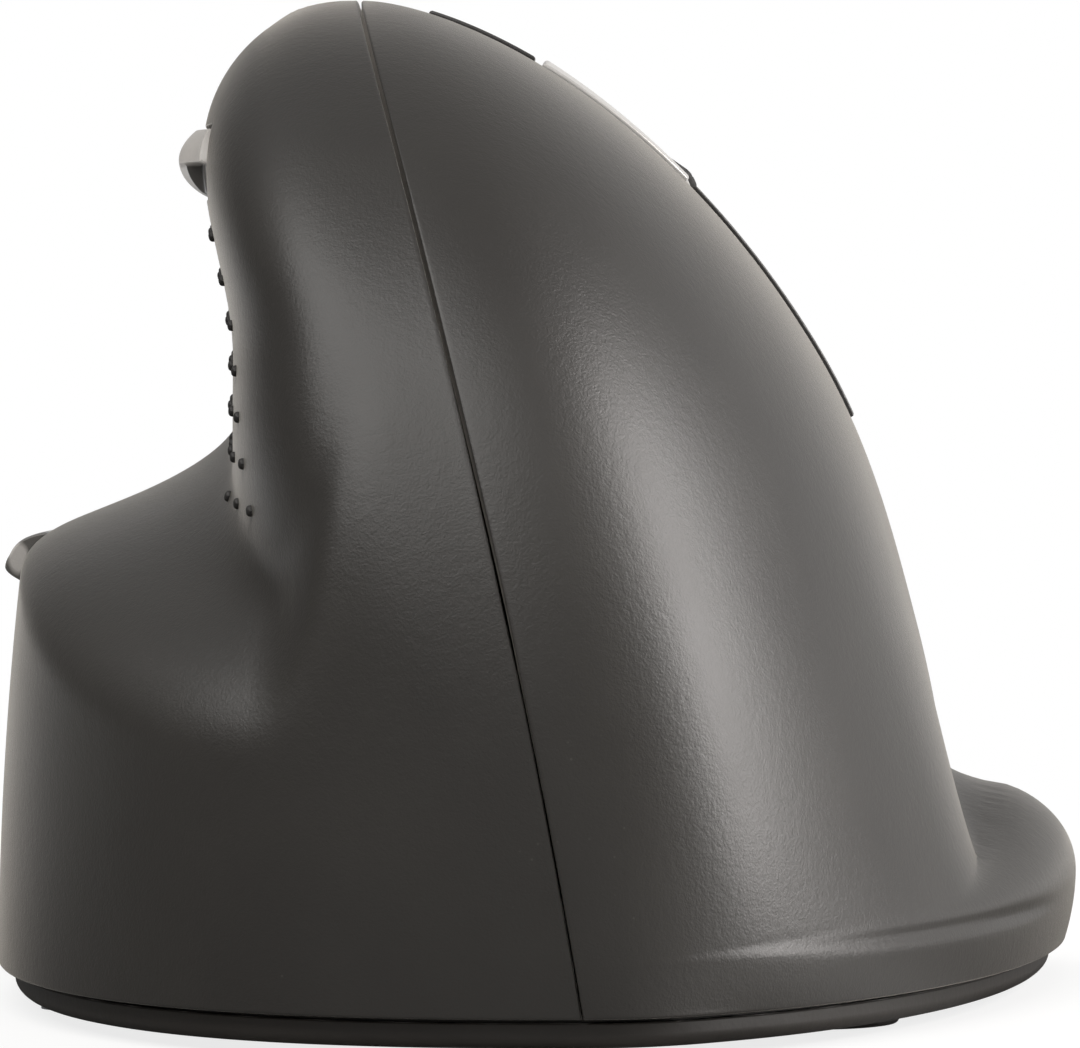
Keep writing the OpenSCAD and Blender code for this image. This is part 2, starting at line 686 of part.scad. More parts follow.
module inner_frame() {
    half = thumb_board_w / 2;
    color("#6f6c68") difference() {
        union() {
            in_frame(deck) {
                translate([0, 0, deck_low]) linear_extrude(deck_t) difference() {
                    union() {
                        deck_plan(0.6);
                        for (p = [index_pin, middle_pin, [0, cradle_y, 0]]) {
                            translate([p.x - lug_reach, p.y - hub_d / 2 - 0.5]) square([2 * lug_reach, 14]);
                        }
                        for (s = [-1, 1]) translate([s * (cradle_reach + lug_t / 2), cradle_y - 3]) {
                            translate([-lug_t, 0]) square([2 * lug_t, 14]);
                        }
                    }
                    square([well_w, well_l], center = true);
                }
                pair_of_lugs(index_pin, hub_w / 2 + sheet_gap, hub_d, hinge_pin_d);
                pair_of_lugs(middle_pin, hub_w / 2 + sheet_gap, hub_d, hinge_pin_d);
                pair_of_lugs([0, cradle_y, cradle_z], cradle_reach, 5, cradle_pin_d);
            }
            difference() {
                union() {
                    for (p = columns) translate([p.x, p.y, floor_z]) cylinder(d = column_d, h = p.z);
                    in_frame(upper) block(-3, 3, -half, half, thumb_board_low - 7, thumb_board_low);
                }
                in_frame(deck) block(-40, 40, -60, 40, deck_top - 0.5, 60);
            }
        }
        in_frame(upper) translate([-half - sheet_gap, -half - sheet_gap, thumb_board_low]) {
            cube([2 * (half + sheet_gap), 2 * (half + sheet_gap), -thumb_board_low]);
        }
        for (p = columns) translate([p.x, p.y, floor_z - 1]) {
            cylinder(d = screw_d + 2 * run_gap, h = screw_reach + 1.5);
        }
    }
}
module hinge_pin(at) {
    reach = hub_w / 2 + sheet_gap + lug_t;
    color("#b9bcc0") in_frame(deck) translate([0, at.y, at.z]) rod(hinge_pin_d, at.x - reach, at.x + reach);
}
module index_hinge_pin() {
    hinge_pin(index_pin);
}
module middle_hinge_pin() {
    hinge_pin(middle_pin);
}

// Finger buttons: a plate of the body's surface, a hinge hub at the rear and a stem over the switch
module finger_button(rows, pin, at, root) {
    difference() {
        union() {
            patch(PALM, spread(finger_rear, finger_front, 18), rows, button_proud, finger_plate_t, button_gap);
            in_frame(deck) {
                translate([0, pin.y, pin.z]) rod(hub_d, pin.x - hub_w / 2, pin.x + hub_w / 2);
                translate(pin) block(-hub_w / 2, hub_w / 2, -1.2, 1.2, 0, root.z - pin.z - button_t / 2);
                translate([at.x, at.y, plunger_top + press_gap]) {
                    cylinder(d = finger_stem_d, h = at.z - button_t / 2 - plunger_top - press_gap);
                }
            }
        }
        in_frame(deck) translate([0, pin.y, pin.z]) rod(hinge_pin_d + 2 * run_gap, pin.x - 20, pin.x + 20);
    }
}
module index_button() {
    color("#2f2c2a") {
        rows = spread(row_of(index_low_drop), row_of(index_top_drop), 4);
        finger_button(rows, index_pin, index_at, index_root);
    }
}
module middle_button() {
    color("#2f2c2a") {
        rows = spread(row_of(middle_low_drop), row_of(strip_low_drop), 7);
        finger_button(rows, middle_pin, middle_at, middle_root);
    }
}
module centre_strip() {
    rows = spread(row_of(strip_low_drop), row_of(index_low_drop), 5);
    color("#c9c6c1") difference() {
        patch(PALM, spread(finger_rear, finger_front, 18), rows, strip_proud, strip_depth, button_gap,
            ramp = 9);
        in_frame(deck) block(-slot_w / 2, slot_w / 2, -wheel_d / 2 - 1, wheel_d / 2 + 1, -20, 20);
    }
}

// Scroll wheel: tyre and hub turn in a cradle, which tips to press the wheel switch
module at_axle() {
    in_frame(deck) translate([0, 0, wheel_z]) children();
}
module wheel_tyre() {
    color("#1f1e1d") at_axle() difference() {
        rod(wheel_d, -wheel_w / 2, wheel_w / 2);
        rod(wheel_d - 2 * tyre_t, -wheel_w, wheel_w);
    }
}
module wheel_hub() {
    color("#9a9894") at_axle() {
        rod(wheel_d - 2 * tyre_t, -wheel_w / 2, wheel_w / 2);
        rod(axle_d, -arm_x - arm_t, arm_x + arm_t + encoder_w - 0.6);
    }
}
module cradle_arm(x) {
    top = wheel_z + axle_d / 2 + 1;
    block(x - arm_t / 2, x + arm_t / 2, cradle_y, bridge_y + bridge_w, cradle_z + 0.4, wheel_z + 1.3);
    block(x - arm_t / 2, x + arm_t / 2, bridge_y, bridge_y + bridge_w, wheel_z, bridge_top);
    translate([0, cradle_y, cradle_z]) rod(cradle_pin_d + 2.4, x - arm_t / 2, x + arm_t / 2);
    block(x - arm_t / 2, x + arm_t / 2, -axle_d, axle_d, wheel_z, top);
}
module wheel_cradle() {
    color("#3c3a38") in_frame(deck) difference() {
        union() {
            for (s = [-1, 1]) cradle_arm(s * (arm_x + arm_t / 2));
            block(-arm_x - arm_t, arm_x + arm_t, bridge_y, bridge_y + bridge_w, bridge_low, bridge_top);
        }
        translate([0, cradle_y, cradle_z]) rod(cradle_pin_d + 2 * run_gap, -20, 20);
        translate([0, 0, wheel_z]) rod(axle_d + 2 * run_gap, -20, 20);
        block(-cradle_reach, cradle_reach, bridge_y - 2.4, bridge_y + bridge_w + 1, -30, bridge_low);
    }
}
module cradle_pin() {
    reach = cradle_reach + lug_t;
    color("#b9bcc0") in_frame(deck) translate([0, cradle_y, cradle_z]) rod(cradle_pin_d, -reach, reach);
}
module wheel_encoder() {
    x0 = arm_x + arm_t;
    color("#2d4a3a") in_frame(deck) difference() {
        block(x0, x0 + encoder_w, -4, 4, wheel_z - 4, wheel_z + 2.4);
        translate([0, 0, wheel_z]) rod(axle_d + 2 * run_gap, 0, 40);
    }
}

// Switches on the button board
module micro_switch(at, turn) {
    color("#262626") in_frame(deck) translate([at.x, at.y, 0]) rotate([0, 0, turn]) difference() {
        block(-switch_w / 2, switch_w / 2, -switch_l / 2, switch_l / 2, -deck_depth, switch_top);
        block(-1 - press_gap, 1 + press_gap, -1.4 - press_gap, 1.4 + press_gap,
            switch_top - plunger_foot - 2 * stroke, switch_top + 1);
    }
}
module switch_plunger(at, turn) {
    color("#d8c9a0") in_frame(deck) translate([at.x, at.y, 0]) rotate([0, 0, turn]) {
        block(-1, 1, -1.4, 1.4, switch_top - plunger_foot, plunger_top);
    }
}
module index_switch() {
    micro_switch(index_at, 0);
}
module middle_switch() {
    micro_switch(middle_at, 0);
}
module wheel_switch() {
    micro_switch(wheel_switch_at, 90);
}
module index_plunger() {
    switch_plunger(index_at, 0);
}
module middle_plunger() {
    switch_plunger(middle_at, 0);
}
module wheel_plunger() {
    switch_plunger(wheel_switch_at, 90);
}
module button_board() {
    color("#1f5a34") in_frame(deck) translate([0, 0, deck_top]) linear_extrude(board_t) deck_plan(0.6);
}

// Thumb buttons: a proud bar, two legs that hook behind the shell, and a stem over a small switch
module thumb_button(f, front, rear, rows, proud, peak, ramp) {
    patch(THUMB, spread(front, rear, 10), spread(rows[0], rows[1], 6), proud, thumb_plate, button_gap,
        peak, ramp);
    in_frame(f) {
        for (end = [[front, -1], [rear, 1]]) {
            tip = into(f, spot(THUMB, end[0], f[0].z));
            hook_top = tip.z - wall - 3 * sheet_gap;
            ys = [for (d = [-hook_out, leg_in, leg_in + leg_l]) tip.y + end[1] * d];
            block(-rib_w / 2, rib_w / 2, min(ys[1], ys[2]), max(ys[1], ys[2]), hook_top - hook_t,
                tip.z - thumb_plate / 4);
            block(-rib_w / 2, rib_w / 2, min(ys[0], ys[2]), max(ys[0], ys[2]), hook_top - hook_t, hook_top);
        }
        translate([0, 0, tact_top + press_gap]) cylinder(d = 2, h = -thumb_plate - tact_top - press_gap);
    }
}
module upper_thumb_button() {
    color("#75726e") thumb_button(upper, upper_front, upper_rear, upper_rows, upper_proud, 0.65, -1);
}
module lower_thumb_button() {
    color("#75726e") thumb_button(lower, lower_front, lower_rear, lower_rows, lower_proud, 0.3, 0);
}
module tact_switch(f) {
    color("#2a2a2c") in_frame(f) difference() {
        block(-tact_w / 2, tact_w / 2, -tact_w / 2, tact_w / 2, thumb_board_top, thumb_board_top + tact_h);
        translate([0, 0, tact_top - tact_out - tact_foot - 2 * thumb_travel]) {
            cylinder(d = tact_d + 2 * press_gap, h = 3);
        }
    }
}
module tact_plunger(f) {
    color("#c8b98c") in_frame(f) translate([0, 0, tact_top - tact_out - tact_foot]) {
        cylinder(d = tact_d, h = tact_foot + tact_out);
    }
}
module tact_board(f) {
    w = thumb_board_w / 2;
    color("#1f5a34") in_frame(f) block(-w, w, -w, w, thumb_board_low, thumb_board_top);
}
module upper_thumb_switch() {
    tact_switch(upper);
}
module lower_thumb_switch() {
    tact_switch(lower);
}
module upper_thumb_plunger() {
    tact_plunger(upper);
}
module lower_thumb_plunger() {
    tact_plunger(lower);
}
module upper_thumb_board() {
    tact_board(upper);
}
module lower_thumb_board() {
    tact_board(lower);
}

// Main board and what it carries
module main_board() {
    tongue = socket_w + 1;
    color("#1f5a34") difference() {
        translate([0, 0, board_z]) linear_extrude(board_t) {
            translate([board_x - board_w / 2, board_y - board_l / 2]) square([board_w, board_l - 8]);
            translate([board_x - board_w / 2, board_y]) square([board_w - 9, board_l / 2]);
            translate([port_x - tongue / 2, board_y]) square([tongue, port_y - 4.4 - board_y]);
        }
        for (p = columns) translate([p.x, p.y, 0]) cylinder(d = column_d + 1.2, h = 30);
        for (s = standoffs) translate([s.x, s.y, 0]) cylinder(d = board_screw_d + 0.4, h = 30);
        sensor_window();
    }
}
module board_screws() {
    color("#8d8d90") for (s = standoffs) translate([s.x, s.y, port_low + 1.2]) rotate([180, 0, 0]) {
        pan_screw(board_screw_d, 4, 1.2, 1.2 + board_t + board_lift - 1);
    }
}
module optical_sensor() {
    color("#202022") translate([sensor_at.x, sensor_at.y, port_low]) {
        linear_extrude(sensor_size.z) square([sensor_size.x, sensor_size.y], center = true);
    }
}
module sensor_lens() {
    color("#dfe6ea") translate([sensor_at.x, sensor_at.y, 0]) {
        translate([0, 0, floor_z]) linear_extrude(lens_t) square(lens_size, center = true);
        translate([0, 0, floor_z + lens_t]) linear_extrude(board_lift - lens_t) {
            square([window.x - 2, window.y - 2], center = true);
        }
    }
}
module controller_chip() {
    color("#1b1b1d") translate([board_x + 10, board_y - 6, port_low]) block(-3.5, 3.5, -3.5, 3.5, 0, 1);
}
module battery_cell() {
    color("#9fa4a8") translate([0, battery_y, floor_z]) {
        block(-battery.x / 2, battery.x / 2, -battery.y / 2, battery.y / 2, 0, battery.z);
    }
}
module charge_socket() {
    color("#c0c3c6") translate([port_x, port_y - 0.6, port_low]) difference() {
        block(-socket_w / 2, socket_w / 2, -socket_l, 0, 0, socket_h);
        block(-socket_w / 2 + 0.4, socket_w / 2 - 0.4, -socket_l + 1, 1, 0.4, socket_h - 0.4);
    }
}
module power_switch() {
    half_y = 1 + power_travel / 2 + sheet_gap;
    color("#2a2a2c") translate([power_at.x, power_at.y, 0]) difference() {
        block(-3, 3, -5, 5, floor_z + 0.8, board_z);
        block(-0.9, 0.9, -half_y, half_y, 0, floor_z + 2.6);
    }
}
module power_slider() {
    color("#a8a6a2") translate([power_at.x, power_at.y - power_travel / 2, 0]) {
        block(-knob.x / 2, knob.x / 2, -knob.y / 2, knob.y / 2, base_z + 0.4, floor_z + 0.5);
        block(-0.6, 0.6, -1, 1, floor_z + 0.5, floor_z + 2.2);
    }
}

// Grip studs on the waist, in rows that rise a little forward and start farther back as they come down
function angle_at(y, z, lo, hi, n) =
    let (mid = (lo + hi) / 2, far = skin(THUMB, mid, z).y > y)
    n == 0 ? mid : angle_at(y, z, far ? mid : lo, far ? hi : mid, n - 1);
module grip_studs() {
    front_y = 12;
    stud_root = 0.6;
    color("#1d1b1a") for (k = [0:stud_rows - 1]) {
        drop = k * stud_pitch;
        rear = -21 - 1.45 * drop + 0.017 * drop * drop;
        above = stud_top_z - drop > lower_rows[1] + stud_clear;
        front = above ? front_y : min(front_y, spot(THUMB, lower_rear, lower_z).y - stud_clear);
        for (i = [0:floor((front - rear) / stud_along)]) {
            z = stud_top_z - drop + 0.05 * stud_along * i;
            spot_frame = frame_at(THUMB, angle_at(rear + i * stud_along, z, 95, 265, 24), z, -1);
            if (spot_frame[3].z < 0.45) in_frame(spot_frame) translate([0, 0, -stud_root]) {
                cylinder(d = stud_d, h = stud_root + stud_proud);
            }
        }
    }
}

thumb_shell();
palm_shell();
base_plate();
centre_strip();
grip_studs();
inner_frame();
base_screws();
glide_feet();
main_board();
controller_chip();
optical_sensor();
sensor_lens();
battery_cell();
charge_socket();
power_switch();
power_slider();
board_screws();
button_board();
index_switch();
middle_switch();
wheel_switch();
index_plunger();
middle_plunger();
wheel_plunger();
index_button();
middle_button();
index_hinge_pin();
middle_hinge_pin();
wheel_hub();
wheel_tyre();
wheel_cradle();
cradle_pin();
wheel_encoder();
upper_thumb_button();
lower_thumb_button();
upper_thumb_switch();
lower_thumb_switch();
upper_thumb_plunger();
lower_thumb_plunger();
upper_thumb_board();
lower_thumb_board();
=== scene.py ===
# %% [markdown]
# A vertical mouse is a hand-sized body of soft-touch plastic, split by one dark seam into a thumb half and
# a palm half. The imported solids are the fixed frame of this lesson: every new surface is worked out in the
# same place as the solid that it dresses, with the same formulas, only on a much finer grid.

# %% Load the frame
import json
import math

import bpy
import numpy as np
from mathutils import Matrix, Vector


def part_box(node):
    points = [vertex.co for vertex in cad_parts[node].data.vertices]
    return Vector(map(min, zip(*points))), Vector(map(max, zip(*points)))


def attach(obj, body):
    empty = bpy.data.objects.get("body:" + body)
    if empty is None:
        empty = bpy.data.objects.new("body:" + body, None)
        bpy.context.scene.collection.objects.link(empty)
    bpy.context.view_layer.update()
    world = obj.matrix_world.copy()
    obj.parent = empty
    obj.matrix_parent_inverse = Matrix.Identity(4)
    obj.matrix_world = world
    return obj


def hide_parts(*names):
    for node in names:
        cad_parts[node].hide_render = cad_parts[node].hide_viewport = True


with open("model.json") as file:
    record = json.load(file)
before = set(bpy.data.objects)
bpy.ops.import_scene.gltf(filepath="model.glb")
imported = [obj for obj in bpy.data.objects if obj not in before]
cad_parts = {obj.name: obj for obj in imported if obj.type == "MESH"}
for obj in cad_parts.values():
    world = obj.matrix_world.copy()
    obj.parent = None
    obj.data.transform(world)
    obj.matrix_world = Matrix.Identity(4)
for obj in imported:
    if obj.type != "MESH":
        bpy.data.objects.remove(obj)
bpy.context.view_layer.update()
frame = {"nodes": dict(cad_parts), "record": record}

# %% [markdown]
# A moulded shell is a sheet with a front, a back and a rim where it ends. One helper turns two grids of
# points, outer and inner, into such a closed sheet. Cells can be left out for openings, and the rim follows
# their edges by itself. Vertices are worked out as whole arrays in millimetres and become metres only when
# the mesh is filled.

# %% Sheets, turned pieces and blocks
MM = 0.001


def fill(name, points, faces, body, slot, replaces=(), crease=32):
    """Make a mesh object from points in millimetres and lists of faces, smooth except where it creases."""
    mesh = bpy.data.meshes.new(name)
    mesh.from_pydata((points * MM).tolist(), [], faces)
    mesh.update()
    mesh.polygons.foreach_set("use_smooth", np.ones(len(mesh.polygons), bool))
    mesh.set_sharp_from_angle(angle=math.radians(crease))
    piece = bpy.data.objects.new(name, mesh)
    bpy.context.scene.collection.objects.link(piece)
    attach(piece, body)
    if replaces:
        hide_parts(*replaces)
    print(name, len(mesh.vertices), "vertices,", sum(len(p.vertices) - 2 for p in mesh.polygons), "triangles")
    return piece


def join(*solids):
    """Put several (points, faces) pairs into one pair: each pair's indices move up by the points before it."""
    starts = np.cumsum([0] + [len(points) for points, _ in solids])
    faces = [[[i + start for i in face] for face in part] for start, (_, part) in zip(starts, solids)]
    return np.vstack([points for points, _ in solids]), sum(faces, [])


def sheet(outer, inner, solid=None, pole=False):
    """Close two grids (rows up, columns round) into a sheet: outer cells, inner cells turned over, and a wall quad
    along each cell edge whose neighbour is open. With a pole, the last row is one point and its cells are triangles."""
    rows, columns = outer.shape[:2]
    index = np.arange(rows * columns).reshape(rows, columns)
    half = rows * columns
    if pole:
        index[-1] = index[-1, 0]
    solid = np.ones((rows - 1, columns - 1), bool) if solid is None else solid
    a, b, c, d = index[:-1, :-1], index[:-1, 1:], index[1:, 1:], index[1:, :-1]
    ring = np.pad(solid, 1)
    below, above = ring[:-2, 1:-1], ring[2:, 1:-1].copy()
    left, right = ring[1:-1, :-2], ring[1:-1, 2:]
    if pole:
        above[-1] = True
    tip = np.zeros_like(solid)
    tip[-1] = pole
    full, fan = solid & ~tip, solid & tip
    quads = [np.stack([a, b, c, d], -1)[full], np.stack([a, d, c, b], -1)[full] + half]
    for p, q, open_side in ((a, b, ~below), (b, c, ~right), (c, d, ~above), (d, a, ~left)):
        quads.append(np.stack([q, p, p + half, q + half], -1)[solid & open_side])
    fans = np.stack([a, b, d], -1)[fan]
    faces = np.vstack(quads).tolist() + fans.tolist() + (fans[:, ::-1] + half).tolist()
    points = np.vstack([outer.reshape(-1, 3), inner.reshape(-1, 3)])
    used = np.zeros(len(points), int)
    for face in (np.vstack(quads), fans, fans + half):
        used[face.ravel()] = 1
    renumber = (np.cumsum(used) - 1).tolist()
    return points[used > 0], [[renumber[i] for i in face] for face in faces]


def turned(profile, places, x_axes, y_axes, z_axes, sides):
    """Turn a profile of (radius, height) rows about the z axis of each given frame. A row of radius zero becomes a
    cap; a profile that starts and ends off the axis is closed into a ring."""
    radius, height = np.asarray(profile, float).T
    angle = np.linspace(0, 2 * np.pi, sides, endpoint=False)
    local = np.stack([radius[:, None] * np.cos(angle), radius[:, None] * np.sin(angle),
                      np.repeat(height[:, None], sides, 1)], -1).reshape(-1, 3)
    axes = np.stack([x_axes, y_axes, z_axes], 1)
    points = np.einsum("kc,fcx->fkx", local, axes) + np.asarray(places, float)[:, None]
    rows = len(radius)
    index = np.arange(rows * sides).reshape(rows, sides)
    ring = radius[0] > 0 and radius[-1] > 0
    lower, upper = (index, np.roll(index, -1, 0)) if ring else (index[:-1], index[1:])
    one = np.stack([lower, np.roll(lower, -1, 1), np.roll(upper, -1, 1), upper], -1).reshape(-1, 4)
    faces = (one[None] + (np.arange(len(points)) * rows * sides)[:, None, None]).reshape(-1, 4)
    return weld(points.reshape(-1, 3), faces)


def weld(points, faces):
    """Merge points that lie within a tenth of a micron and drop the repeated corners, so poles become one point."""
    _, first, same = np.unique(np.round(points, 4), axis=0, return_index=True, return_inverse=True)
    faces = same.reshape(-1)[faces].tolist()
    faces = [list(dict.fromkeys(face)) for face in faces]
    return points[first], [face for face in faces if len(face) > 2]


def block(place, axes, low, high):
    """A closed box between two corners of a frame: eight corners, six quads."""
    corner = np.array([[x, y, z] for z in (0, 1) for y in (0, 1) for x in (0, 1)])
    local = np.where(corner, high, low)
    faces = [[0, 2, 3, 1], [4, 5, 7, 6], [0, 1, 5, 4], [2, 6, 7, 3], [0, 4, 6, 2], [1, 3, 7, 5]]
    return local @ np.asarray(axes) + place, faces


# %% [markdown]
# The whole body is one family of curves. At each height z the outline is drawn round a spine, with a radius
# that depends on the angle phi: phi runs from -90 to 90 degrees over the palm half and from 90 to 270 over
# the thumb half. Superellipses give the soft corners, and smooth minimum and maximum functions roll the
# ledge and the flange into the body. These are the formulas of the solids, written for whole arrays.

# %% The body's surface
BODY_H, HALF_W, HALF_L, SHELL_Z, SEAM_GAP, WALL = 71.2, 38.95, 59.0, 2.8, 0.5, 2.2
LEDGE_Z, RIM_Z = 32.6, 6.3
THUMB, PALM = -1, 1


def ease(t):
    """Zero below 0, one above 1, and a smooth S between: u squared times (3 - 2u)."""
    u = np.clip(t, 0, 1)
    return u * u * (3 - 2 * u)


def mix(a, b, t):
    return a + (b - a) * t


def soft_min(a, b, k):
    """The smaller of two values, rounded where they are within k of each other."""
    h = np.maximum(k - np.abs(a - b), 0) / k
    return np.minimum(a, b) - h * h * k / 4


def soft_max(a, b, k):
    return -soft_min(-a, -b, k)


def seam_x(z):
    return 2.9 - 0.16 * z - 0.00095 * z * z


CROWN_X, CROWN_Y = seam_x(BODY_H), 2.0


def arch(z, p, q):
    """A vault over the height: (1 - (z / h)^p)^(1/q)."""
    return np.maximum(1 - np.clip(z / BODY_H, 0, 1) ** p, 0) ** (1 / q)


def superellipse(c, s, a, b, n):
    """Radius of a superellipse with half axes a and b in the direction (c, s)."""
    return (np.abs(c / a) ** n + np.abs(s / b) ** n) ** (-1 / n)


def spine_y(side, z):
    return mix(9.0 if side == THUMB else 20.0, CROWN_Y, z / BODY_H)


def reach_y(side, s, z):
    rear = spine_y(side, z) - (CROWN_Y - (HALF_L + CROWN_Y) * arch(z, 3, 1.9))
    front = CROWN_Y + (HALF_L - CROWN_Y) * arch(z, 2.6, 1.8) - spine_y(side, z)
    return np.where(s < 0, rear, front) + 1e-4


def thumb_radius(c, s, z):
    """The larger of a narrow fin above and a wide wall below, with the ledge that the thumb lies on between them."""
    xs, b, zc = seam_x(z), reach_y(THUMB, s, z), BODY_H - 10.7
    waist_x = CROWN_X - np.sqrt(np.maximum(10.7**2 - np.maximum(z - zc, 0) ** 2, 0)) + 2.5 * ease((zc - z) / 15)
    wall_x = -HALF_W + 2 * (z / LEDGE_Z) ** 2
    full = 2.5 + np.where(s < 0, 1.7, 0) * ease((z - 18) / 24) * (1 - ease((z - 50) / 20))
    fin = superellipse(c, s, np.maximum(xs - waist_x, 1e-4), b, full)
    side_wall = superellipse(c, s, xs - wall_x, b, 2.55)
    lift = np.where(s < 0, 16 * ease((0.28 - np.abs(c)) / 0.2), 0)
    rise = np.maximum(LEDGE_Z + lift + 0.4 * (xs + HALF_W - 2) - z, 0)
    drop = np.where(s < 0, 0.0043, 0.002) * s * s
    run = -0.4 * np.minimum(c, -1e-4)
    ledge = 2 * rise / (run + np.sqrt(run * run + 4 * drop * rise))
    step = np.where(s < 0, fin, 1.5 * np.maximum(side_wall - fin, 0) + 0.01)
    fillet = np.minimum(9 * (ease(np.abs(c) / 0.35) + 0.001), 2 * np.minimum(fin, step))
    return soft_max(fin, soft_min(side_wall, ledge, 3.6 * np.where(s < 0, 1 + s * s, 1)), fillet)


def palm_radius(c, s, z, lip):
    """A leaning body that sweeps out to a flange at the desk. The flange is a quarter dome on an upright rim; lip is
    the depth of a shallow groove between them, which fades out towards the seam and at the widest part."""
    xs = seam_x(z)
    palm_x = CROWN_X + 44.3 * arch(z, 2.2, 1.6) - 0.95 * (1 - ease((z - 26) / 20))
    body = superellipse(c, s, np.maximum(palm_x - xs, 1e-4), reach_y(PALM, s, z), 2)
    top = RIM_Z + 1.5 * c * c
    wide = superellipse(c, s, HALF_W - xs, reach_y(PALM, s, 0 * z), 1.66) - 0.03 * np.maximum(top - z, 0) ** 2
    rim = mix(body, wide, ease((c - 0.02) / 0.16))
    over = np.maximum(z - top, 0)
    dome_h = mix(2.4, 6.4, c**4)
    u = np.clip(over / dome_h, 0, 1)
    flange = rim - 7.5 * (1 - np.sqrt(1 - u * u)) - 6 * np.maximum(over - dome_h, 0)
    sweep = np.where(s < 0, 1 - ease((c - 0.5) / 0.45), 0)
    swept = body + np.maximum(rim - body, 0) * np.exp(-over / 10) * sweep
    fillet = np.minimum(mix(8, 12, s * s) * (1 - 0.9 * sweep) * (ease(np.abs(c) / 0.35) + 0.001), 2 * body)
    groove = np.exp(-((z - RIM_Z - 0.5) / 0.6) ** 2) * ease((c - 0.12) / 0.3) * (1 - ease((c - 0.6) / 0.3))
    return soft_max(swept, flange, fillet) - lip * groove


def skin(side, phi, z, gap=SEAM_GAP, lip=0.0):
    """Points of the outer surface at angles phi in degrees and heights z. The gap is the seam's width there."""
    c, s = np.cos(np.radians(phi)), np.sin(np.radians(phi))
    r = thumb_radius(c, s, z) if side == THUMB else palm_radius(c, s, z, lip)
    near = 1 - ease(np.abs(c) / 0.3)
    offset = side * mix(SEAM_GAP, gap, near) / 2
    return np.stack([seam_x(z) + offset + r * c, spine_y(side, z) + r * s, z + 0 * r], -1)


def row_z(phi, row):
    """Height of a slanting row on the palm half: rows fall forward, as the fingers do."""
    return BODY_H - (BODY_H - SHELL_Z) * row ** (1 - 0.5 * ease((phi - 15) / 65))


def row_of(drop):
    return drop / (BODY_H - SHELL_Z)


def outward(grid):
    """Unit normals of a grid of points: the cross product of its column and row directions."""
    n = np.cross(np.gradient(grid, axis=1), np.gradient(grid, axis=0))
    return n / np.maximum(np.linalg.norm(n, axis=-1, keepdims=True), 1e-12)


print("crown at", round(CROWN_X, 2), CROWN_Y, BODY_H, "foot of the seam at", round(seam_x(0), 2))

# %% [markdown]
# Nothing moulded has a knife edge. A small radius runs along every opening and along the seam, and its
# bright line is what makes a shell look like plastic instead of paper. A Bevel modifier could do it, but on
# a curved grid it leaves uneven corners. Here each outer point that lies within a radius of an edge sinks
# along its normal by the depth of a circle, and grid lines are crowded near the edges so that the circle is
# round.

# %% Rolled edges and crowded grid lines
def roll(outer, normals, edge_points, radius):
    """Sink points near an edge: at a distance d under the radius r the depth is r - sqrt(r^2 - (r - d)^2)."""
    flat = outer.reshape(-1, 3)
    near = np.full(len(flat), np.inf)
    for start in range(0, len(flat), 4000):
        part = flat[start:start + 4000]
        near[start:start + 4000] = np.sqrt(((part[:, None] - edge_points[None]) ** 2).sum(-1).min(1))
    inside = np.clip(radius - near, 0, radius)
    depth = radius - np.sqrt(radius**2 - inside**2)
    return outer - normals * depth.reshape(outer.shape[:2])[..., None]


def crowd(stops, step, edges, snug):
    """Lines through all the stops, no further apart than step, with five closer lines on both sides of each edge."""
    lines = [np.linspace(a, b, max(int(np.ceil(abs(b - a) / step)), 1) + 1) for a, b in zip(stops[:-1], stops[1:])]
    near = snug * np.array([0.08, 0.25, 0.5, 0.8, 1.1])
    extra = [np.concatenate([edge + near, edge - near]) for edge in edges]
    lines = np.unique(np.round(np.concatenate(lines + extra), 6))
    return lines[(lines >= min(stops)) & (lines <= max(stops))]


def open_edge(solid, points):
    """Points on the edges of the openings: those that touch both a solid and an open cell."""
    ring = np.pad(solid, 1, constant_values=True)
    cells = np.stack([ring[:-1, :-1], ring[:-1, 1:], ring[1:, :-1], ring[1:, 1:]])
    return points[cells.any(0) & ~cells.all(0)]


def seam_width(z):
    """The visible joint line is a fine groove, a little wider over the upper half."""
    return mix(0.12, 0.26, ease((z - 22) / 9))


# %% [markdown]
# The thumb half carries the ledge, the waist above it and three openings: two for the thumb buttons and one
# for the charging socket. The grid has lines exactly on the edges of the openings, so the cells inside them
# are simply left out. Four screw bosses stand inside the shells, two in each half.

# %% Thumb shell
def boss(side, phi):
    """A screw boss just inside the wall: a ring turned about an upright axis."""
    z = SHELL_Z + 7.0
    ahead, behind = skin(side, np.array(phi + 0.4), np.array(z)), skin(side, np.array(phi - 0.4), np.array(z))
    t = (ahead - behind) / np.linalg.norm(ahead - behind)
    at = (ahead + behind) / 2 - np.array([t[1], -t[0], 0]) * (WALL + 6.4 / 2 - 1)
    ring = [(1.55, 0), (3.2, 0), (3.2, 7), (1.55, 7)]
    return turned(ring, [[at[0], at[1], SHELL_Z]], [[1, 0, 0]], [[0, 1, 0]], [[0, 0, 1]], 24)


def angle_across(x, z):
    """Angle on the thumb half's front where the outline crosses x at height z, by halving the interval."""
    low, high = np.full(np.shape(x), 90.0), np.full(np.shape(x), 170.0)
    for _ in range(24):
        mid = (low + high) / 2
        far = skin(THUMB, mid, z + 0 * mid)[..., 0] > x
        low, high = np.where(far, mid, low), np.where(far, high, mid)
    return (low + high) / 2


